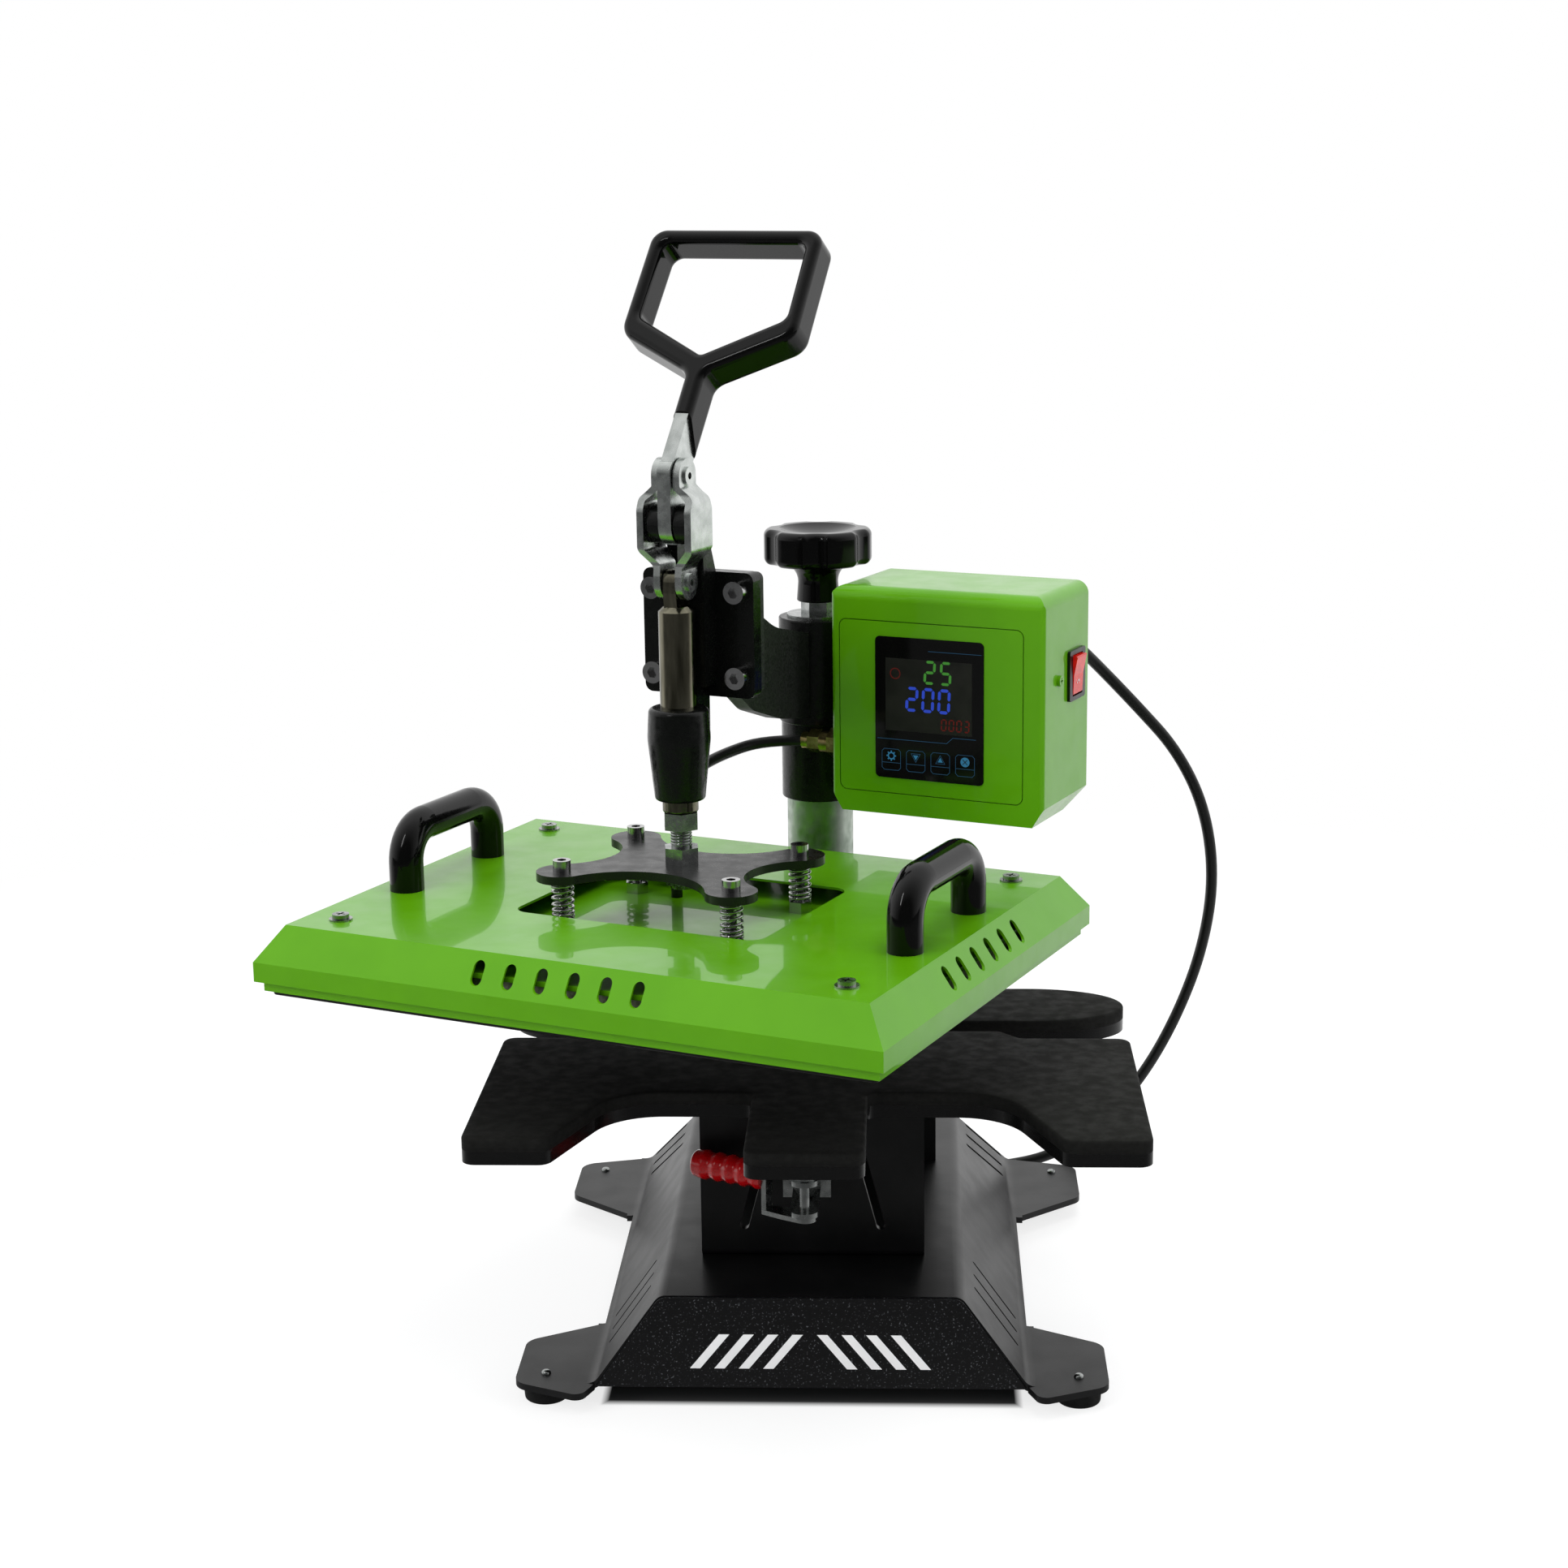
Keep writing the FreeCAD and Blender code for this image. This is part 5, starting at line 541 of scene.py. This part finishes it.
# Spider plate: satin black steel with four lobes, over springs on the four cap screws.
# A spring is squeezed between the plate above it and the platen below it.
satin_black = new_finish("satin_black", (0.005, 0.005, 0.005), 0.28, shine=0.45)
shade(satin_black, speckle(satin_black, 0.01), "Roughness", 0.24, 0.36)
emboss(satin_black, speckle(satin_black, 0.001), 0.00003, 0.4)
dress(satin_black, "black_texture", "spider_plate")
soften(0.0005, "spider_plate")


def tube(name, line, radius, sides, finish):
    """A round tube along a line of points, closed at both ends."""
    places = []
    faces = []
    across = (line[1] - line[0]).orthogonal()
    for number, place in enumerate(line):
        heading = (line[min(number + 1, len(line) - 1)] - line[max(number - 1, 0)]).normalized()
        across = (across - heading * across.dot(heading)).normalized()
        over = heading.cross(across)
        for side in range(sides):
            turn = 2 * math.pi * side / sides
            places.append(place + (across * math.cos(turn) + over * math.sin(turn)) * radius)
        if number:
            for side in range(sides):
                low = (number - 1) * sides + side
                high = (number - 1) * sides + (side + 1) % sides
                faces.append((low, high, high + sides, low + sides))
    faces.append(tuple(range(sides - 1, -1, -1)))
    faces.append(tuple(range(len(places) - sides, len(places))))
    return new_piece(name, places, faces, finish)


spring_low = 0.2718
spring_high = 0.2947
spring_radius = 0.006
wire_radius = 0.0009
spring_turns = 7
spring_steps = 22
spring_sides = 8
end_closing = 0.055
spring_across = 0.055
spring_along = 0.044


def spring(name, x, y):
    """A helix of wire, its last turn at each end wound closer."""
    line = []
    rise = spring_high - spring_low - 2 * wire_radius
    for number in range(spring_turns * spring_steps + 1):
        turns = number / spring_steps
        share = turns / spring_turns
        eased = share - end_closing * math.sin(2 * math.pi * share)
        turn = 2 * math.pi * turns
        line.append(swung(x + spring_radius * math.cos(turn), y + spring_radius * math.sin(turn),
                          spring_low + wire_radius + rise * eased))
    made = tube(name, line, wire_radius, spring_sides, chrome_steel)
    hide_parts("platen_springs")
    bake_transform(made)


for number, (side, depth) in enumerate(((-1, -1), (1, -1), (1, 1), (-1, 1))):
    spring("spring_%d" % (number + 1), side * spring_across, press_y + depth * spring_along)


# Heating platen: a lime-green gloss coat over the folded cover, its frame and the inner
# plate, a heating plate with a dark non-stick coat below and mineral wool between them.
lime_coat = new_finish("lime_coat", (0.1, 0.34, 0.002), 0.32, coat=0.6, shine=0.15)
shade(lime_coat, speckle(lime_coat, 0.05), "Base Color",
      (0.096, 0.33, 0.0015), (0.106, 0.355, 0.0025))
shade(lime_coat, speckle(lime_coat, 0.02), "Roughness", 0.28, 0.38)
emboss(lime_coat, speckle(lime_coat, 0.006), 0.00003, 0.3)
dress(lime_coat, "green_coat", "heat_cover", "platen_frame", "inner_plate", "box_shell",
      "box_front_panel", "box_back_cover", "box_screws")
soften(sheet_edge, "heat_cover", "platen_frame", "inner_plate", "box_shell", "box_back_cover")
plate_dark = new_finish("plate_dark", (0.007, 0.007, 0.006), 0.4, shine=0.35)
shade(plate_dark, speckle(plate_dark, 0.01), "Roughness", 0.32, 0.48)
emboss(plate_dark, speckle(plate_dark, 0.0015), 0.00005, 0.4)
dress(plate_dark, "cast", "heating_plate")
mineral_wool = new_finish("mineral_wool", (0.42, 0.4, 0.33), 0.95, shine=0.2)
shade(mineral_wool, speckle(mineral_wool, 0.003, 5), "Base Color", (0.3, 0.28, 0.22), (0.55, 0.53, 0.46))
emboss(mineral_wool, speckle(mineral_wool, 0.002, 5), 0.0006, 0.9)
dress(mineral_wool, "wool", "insulation")
dress(dip_black, "dip_black", "side_handles")


# Control box: its green shell has the platen's coat, and its display is a black glass. The
# lit digits and the signs of the keys lie just in front of the glass, so that they show.
glass_black = new_finish("glass_black", (0.003, 0.003, 0.003), 0.08, shine=0.3)
shade(glass_black, speckle(glass_black, 0.01), "Roughness", 0.06, 0.11)
dress(glass_black, "display", "display_window")
dress(satin_black, "black_plastic", "switch_bezel", "strain_relief", "power_plug")
dress(satin_black, "black_gloss", "box_bracket")
board_green = new_finish("board_green", (0.01, 0.1, 0.03), 0.4)
shade(board_green, speckle(board_green, 0.01), "Base Color", (0.008, 0.08, 0.025), (0.014, 0.13, 0.04))
dress(board_green, "board_green", "box_electronics")
soften(0.0004, "switch_bezel")
glass_left = 0.0595
glass_low = 0.3265
glass_face = 0.0434


def lit(name, colour, strength):
    """A material that glows by itself, with a faint grain."""
    made = new_finish(name, tuple(part * 0.1 for part in colour), 0.4)
    shader = made.node_tree.nodes["Principled BSDF"]
    shader.inputs["Emission Color"].default_value = (*colour, 1)
    shader.inputs["Emission Strength"].default_value = strength
    shade(made, speckle(made, 0.0008), "Roughness", 0.35, 0.5)
    return made


print_depth = 0.0001
field_depth = 0.00005
cross_depth = 0.00015


def printed(name, outlines, finish, depth=print_depth):
    """Flat shapes just before the glass, in millimetres from its lower left corner."""
    places = []
    faces = []
    for outline in outlines:
        faces.append(tuple(range(len(places), len(places) + len(outline))))
        for x, z in outline:
            places.append(swung(glass_left + x / 1000, glass_face - depth, glass_low + z / 1000))
    made = new_piece(name, places, faces, finish)
    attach(made, "head")


def stroke(points, wide):
    """Quads along a line of points, each end square."""
    quads = []
    for (x, z), (far_x, far_z) in zip(points, points[1:]):
        long = math.hypot(far_x - x, far_z - z)
        along = ((far_x - x) / long * wide / 2, (far_z - z) / long * wide / 2)
        x, z = x - along[0], z - along[1]
        far_x, far_z = far_x + along[0], far_z + along[1]
        quads.append([(x + along[1], z - along[0]), (far_x + along[1], far_z - along[0]),
                      (far_x - along[1], far_z + along[0]), (x - along[1], z + along[0])])
    return quads


def circle(x, z, radius, corners=20):
    """Points round a circle."""
    return [(x + radius * math.cos(2 * math.pi * number / corners),
             z + radius * math.sin(2 * math.pi * number / corners)) for number in range(corners)]


def ring(x, z, radius, wide):
    """Quads round a circle."""
    inner = circle(x, z, radius - wide / 2)
    outer = circle(x, z, radius + wide / 2)
    count = len(inner)
    return [[outer[number], outer[(number + 1) % count], inner[(number + 1) % count], inner[number]]
            for number in range(count)]


segment_places = {
    "top": ((0, 2), (1, 2)), "right_high": ((1, 2), (1, 1)), "right_low": ((1, 1), (1, 0)),
    "bottom": ((0, 0), (1, 0)), "left_low": ((0, 1), (0, 0)), "left_high": ((0, 2), (0, 1)),
    "middle": ((0, 1), (1, 1)),
}
digit_segments = {
    "0": "top right_high right_low bottom left_low left_high",
    "2": "top right_high middle left_low bottom",
    "3": "top right_high right_low bottom middle",
    "5": "top left_high middle right_low bottom",
}
digit_lean = 0.05
gap_share = 0.22


def digits(text, left, low, wide, high, pitch, thick):
    """Seven-segment figures that lean a little, each segment pointed at both ends."""
    shapes = []
    for number, figure in enumerate(text):
        for name in digit_segments[figure].split():
            ends = []
            for column, row in segment_places[name]:
                z = low + high * row / 2
                ends.append((left + number * pitch + wide * column + digit_lean * (z - low), z))
            (x, z), (far_x, far_z) = ends
            long = math.hypot(far_x - x, far_z - z)
            ahead_x, ahead_z = (far_x - x) / long, (far_z - z) / long
            gap = thick * gap_share
            half = thick / 2
            shapes.append([
                (end_x + ahead_x * along - ahead_z * aside, end_z + ahead_z * along + ahead_x * aside)
                for end_x, end_z, along, aside in (
                    (x, z, gap + half, -half), (far_x, far_z, -gap - half, -half),
                    (far_x, far_z, -gap, 0), (far_x, far_z, -gap - half, half),
                    (x, z, gap + half, half), (x, z, gap, 0))])
    return shapes


window_grey = new_finish("window_grey", (0.012, 0.011, 0.01), 0.3)
shade(window_grey, speckle(window_grey, 0.012), "Base Color",
      (0.009, 0.0085, 0.008), (0.015, 0.014, 0.0125))
field_left, field_right = 7, 64
field_low, field_high = 30, 75
signal_x, signal_z = 13.5, 65.5
signal_radius = 3.2
signal_wide = 0.6
printed("display_field", [[(field_left, field_low), (field_right, field_low),
                           (field_right, field_high), (field_left, field_high)]],
        window_grey, field_depth)
printed("display_green", digits("25", left=33, low=61, wide=6, high=13, pitch=10.5, thick=1.7),
        lit("lit_green", (0.04, 0.19, 0.025), 1))
printed("display_blue", digits("200", left=21, low=43.5, wide=6.4, high=13.5, pitch=10.6, thick=1.9),
        lit("lit_blue", (0.02, 0.05, 0.42), 1))
printed("display_red", digits("0003", left=44, low=32.5, wide=2.9, high=6.6, pitch=5, thick=0.9)
        + ring(signal_x, signal_z, signal_radius, signal_wide), lit("lit_red", (0.075, 0.004, 0.004), 1))
key_width = 12.4
key_height = 13.2
key_corner = 1.5
key_shelf = 4.6
key_places = (4.5, 20.8, 37.1, 53.4)
key_low = 5
key_high = key_low + key_height
rule_wide = 0.3
frame_wide = 0.28
mark_z = key_low + 8.9
key_lines = stroke([(35.5, 80.5), (70, 80.5)], rule_wide)
key_lines += stroke([(1.5, 24.5), (47.5, 24.5), (51.5, 28.2), (66.5, 28.2)], rule_wide)
for x in key_places:
    far_x = x + key_width
    shelf_z = key_low + key_shelf
    key_lines += stroke([
        (x + key_corner, key_low), (far_x - key_corner, key_low),
        (far_x, key_low + key_corner), (far_x, key_high - key_corner),
        (far_x - key_corner, key_high), (x + key_corner, key_high),
        (x, key_high - key_corner), (x, key_low + key_corner), (x + key_corner, key_low)], frame_wide)
    key_lines += stroke([(x, shelf_z), (far_x, shelf_z)], frame_wide)
gear_x, down_x, up_x, stop_x = (x + key_width / 2 for x in key_places)
gear_teeth = 8
tooth_wide = 0.8
tooth_start, tooth_stop = 2.2, 2.8
key_marks = ring(gear_x, mark_z, 2, tooth_wide)
for number in range(gear_teeth):
    turn = 2 * math.pi * number / gear_teeth
    key_marks += stroke([(gear_x + reach * math.cos(turn), mark_z + reach * math.sin(turn))
                         for reach in (tooth_start, tooth_stop)], tooth_wide)
for x, way in ((down_x, -1), (up_x, 1)):
    key_lines += stroke([(x - 3, mark_z - 2.4 * way), (x, mark_z + 2.8 * way),
                         (x + 3, mark_z - 2.4 * way), (x - 3, mark_z - 2.4 * way)], frame_wide)
    arrow = [(x - 1.7, mark_z - 1.5 * way), (x + 1.7, mark_z - 1.5 * way), (x, mark_z + 1.5 * way)]
    key_marks.append(arrow[::way])
stop_radius = 3
cross_half = 1.4
cross_wide = 0.5
key_marks.append(circle(stop_x, mark_z, stop_radius))
cyan_print = lit("cyan_print", (0.02, 0.12, 0.22), 1)
cyan_dim = lit("cyan_dim", (0.012, 0.05, 0.1), 1)
printed("display_lines", key_lines, cyan_dim)
printed("display_marks", key_marks, cyan_print)
cross = []
for way in (1, -1):
    cross += stroke([(stop_x - cross_half, mark_z - cross_half * way),
                     (stop_x + cross_half, mark_z + cross_half * way)], cross_wide)
printed("display_cross", cross, window_grey, cross_depth)


# Rocker switch: clear red plastic, given a faint painted glow, in a black bezel on the box's
# right side, with a bar and a ring moulded in white.
rocker_red = new_finish("rocker_red", (0.5, 0.006, 0.004), 0.22, coat=0.3, shine=0.3)
shader = rocker_red.node_tree.nodes["Principled BSDF"]
# A faint emission in the same red is a painted glow that makes the red deeper.
shader.inputs["Emission Color"].default_value = (0.5, 0.008, 0.004, 1)
shader.inputs["Emission Strength"].default_value = 0.3
shade(rocker_red, speckle(rocker_red, 0.006), "Base Color", (0.42, 0.006, 0.005), (0.62, 0.016, 0.01))
dress(rocker_red, "switch_red", "rocker_switch")
soften(0.0004, "rocker_switch")
rocker_face = ((0.1721, 0.3896), (0.1745, 0.4010))
rocker_foot = (0.1717, 0.3782)
rocker_y = 0.09615
mark_lift = 0.00015
bar_half, bar_high = 0.5, 2.4


def rocker_mark(name, outlines, end):
    """Flat shapes on one half of the rocker, in millimetres from that half's middle."""
    places = []
    faces = []
    (start_x, start_z), (stop_x, stop_z) = rocker_face[0], end
    run = Vector((stop_x - start_x, 0, stop_z - start_z))
    outward = Vector((run.z, 0, -run.x)).normalized() * math.copysign(1, run.z)
    middle = Vector((start_x, rocker_y, start_z)) + run / 2
    for outline in outlines:
        faces.append(tuple(range(len(places), len(places) + len(outline))))
        for across, high in outline:
            local = middle + Vector((0, across / 1000, 0)) + outward * mark_lift
            local += run.normalized() * math.copysign(high / 1000, run.z)
            places.append(swung(*local))
    made = new_piece(name, places, faces, inlay_white)
    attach(made, "switch")


rocker_mark("rocker_bar", [[(-bar_half, -bar_high), (bar_half, -bar_high),
                            (bar_half, bar_high), (-bar_half, bar_high)]], rocker_face[1])
rocker_mark("rocker_ring", ring(0, 0, 2.1, 0.8), rocker_foot)


# Cable gland in brass, and the heater cable from it: behind the barrel, down through the
# cover's window and into the inner plate.
brass = new_finish("brass", (0.5, 0.4, 0.15), 0.2, metal=1)
shade(brass, speckle(brass, 0.003), "Base Color", (0.38, 0.3, 0.1), (0.6, 0.5, 0.22))
dress(brass, "brass_gland", "cable_gland")
cable_black = new_finish("cable_black", (0.006, 0.0065, 0.006), 0.4, shine=0.35)
shade(cable_black, speckle(cable_black, 0.02, 3, (1, 1, 0.3)), "Roughness", 0.32, 0.5)
emboss(cable_black, speckle(cable_black, 0.003), 0.00008, 0.5)


def smooth_line(points):
    """The line that a smooth spline draws round its points."""
    data = bpy.data.curves.new("route", "CURVE")
    data.dimensions = "3D"
    data.resolution_u = 8
    spline = data.splines.new("NURBS")
    spline.points.add(len(points) - 1)
    for knot, place in zip(spline.points, points):
        knot.co = (*place, 1)
    spline.order_u = 3
    spline.use_endpoint_u = True
    drawn = bpy.data.objects.new("route", data)
    mesh = bpy.data.meshes.new_from_object(drawn)
    line = [corner.co.copy() for corner in mesh.vertices]
    bpy.data.objects.remove(drawn)
    return line


heater_radius = 0.0035
heater_route = [swung(*place) for place in (
    (0.0295, 0.054, 0.343),
    (-0.0165, 0.054, 0.343),
    (-0.038, 0.010, 0.336),
    (-0.036, -0.034, 0.330),
    (-0.027, -0.057, 0.300),
    (-0.027, -0.057, 0.2653),
)]
heater_line = smooth_line(heater_route)
heater = tube("heater_lead", heater_line, heater_radius, 14, cable_black)
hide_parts("heater_cable")
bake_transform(heater)


# Power cord: out of the box's back through a ribbed relief, down to the floor and round
# behind the base, where the rest of it lies coiled in two layers under a twisted tie. The
# stretch above lead_split hangs from the head and the one below it lies on the floor.
cord_radius = 0.00375
lead_route = [
    (0.14099, 0.08632, 0.398),
    (0.1506, 0.1083, 0.398),
    (0.1635, 0.1263, 0.391),
    (0.1785, 0.1395, 0.375),
    (0.206, 0.1495, 0.345),
    (0.234, 0.1575, 0.313),
    (0.254, 0.165, 0.272),
    (0.262, 0.172, 0.222),
    (0.256, 0.178, 0.170),
    (0.240, 0.184, 0.120),
    (0.218, 0.190, 0.075),
    (0.190, 0.195, 0.038),
    (0.158, 0.1995, 0.013),
    (0.120, 0.2005, cord_radius),
    (0.082, 0.1995, cord_radius),
    (0.044, 0.1975, cord_radius),
    (0.008, 0.198, cord_radius),
    (-0.0275, 0.198, cord_radius),
]
coil_x = -0.035
coil_y = 0.247
coil_radius = 0.049
coil_pitch = 0.0081
coil_turns = 2
coil_steps = 24
coil_tail = 0.045
coil_route = []
for number in range(int((2 * coil_turns + 0.5) * coil_steps) + 1):
    turns = number / coil_steps
    turn = -math.pi / 2 - 2 * math.pi * turns
    if turns <= coil_turns:
        radius = coil_radius - coil_pitch * turns
        level = 0
    elif turns < coil_turns + 0.5:
        share = (turns - coil_turns) * 2
        radius = coil_radius - coil_pitch * coil_turns - coil_pitch / 4 * (1 - abs(2 * share - 1))
        level = coil_pitch * (1 - math.cos(math.pi * share)) / 2
    else:
        radius = coil_radius - coil_pitch * coil_turns + coil_pitch * (turns - coil_turns - 0.5)
        level = coil_pitch
    coil_route.append((coil_x + radius * math.cos(turn), coil_y + radius * math.sin(turn),
                       cord_radius + level))
tail_x, tail_y, tail_z = coil_route[-1]
coil_route.append((tail_x + coil_tail / 2, tail_y, tail_z))
coil_route.append((tail_x + coil_tail, tail_y, tail_z))
lead_line = smooth_line([Vector(place) for place in lead_route + coil_route])
lead_split = 0.06
split = next(number for number, place in enumerate(lead_line) if place.z < lead_split)
hanging_line = lead_line[:split + 1]
lying_line = lead_line[split:]
hanging = tube("power_lead_hanging", hanging_line, cord_radius, 16, cable_black)
lying = tube("power_lead_lying", lying_line, cord_radius, 16, cable_black)
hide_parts("power_cord")
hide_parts("power_coil")
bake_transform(hanging)
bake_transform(lying)


def ribbon_loop(name, section, middle, along, wide, thick, finish):
    """A flat band round a closed section, given as points in the plane across along."""
    places = []
    faces = []
    over = Vector((0, 0, 1))
    across = along.cross(over)
    count = len(section)
    for number in range(count):
        x, z = section[number]
        outward = Vector((x, z)).normalized()
        for side, out in ((-1, 0), (1, 0), (1, thick), (-1, thick)):
            places.append(middle + along * (side * wide / 2)
                          + across * (x + outward.x * out) + over * (z + outward.y * out))
        start = 4 * number
        far = 4 * ((number + 1) % count)
        for side in range(4):
            faces.append((start + side, start + (side + 1) % 4, far + (side + 1) % 4, far + side))
    return new_piece(name, places, faces, finish)


tie_middle = Vector((coil_x - (coil_radius - coil_pitch), coil_y, cord_radius + coil_pitch / 2))
tie_half = coil_pitch + cord_radius
tie_thick = 0.0006
tie_wide = 0.004
tie_clear = 0.0001
tie_steps = 28
tie_high = coil_pitch / 2 + cord_radius
tie_section = []
for number in range(tie_steps):
    turn = 2 * math.pi * number / tie_steps
    side, rise = math.cos(turn), math.sin(turn)
    reach = 1 / (abs(side) ** 4 + abs(rise) ** 4) ** 0.25
    lowest = tie_thick + tie_clear - tie_middle.z
    tie_section.append((side * reach * tie_half, max(rise * reach * tie_high, lowest)))
tie = ribbon_loop("coil_tie", tie_section, tie_middle, Vector((0, 1, 0)), tie_wide, tie_thick,
                  satin_black)
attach(tie, "base")
twist_turns = 3
twist_steps = 24
twist_rise = 0.014
twist_start = 0.0005
twist_radius = 0.0009
twist_wire = 0.0008
for number in (0, 1):
    twist = []
    for step in range(twist_steps + 1):
        turn = math.pi * number + 2 * math.pi * twist_turns * step / twist_steps
        level = tie_high + twist_start + twist_rise * step / twist_steps
        offset = Vector((twist_radius * math.cos(turn), twist_radius * math.sin(turn), level))
        twist.append(tie_middle + offset)
    end = tube("coil_tie_end_%d" % (number + 1), twist, twist_wire, 8, satin_black)
    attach(end, "base")
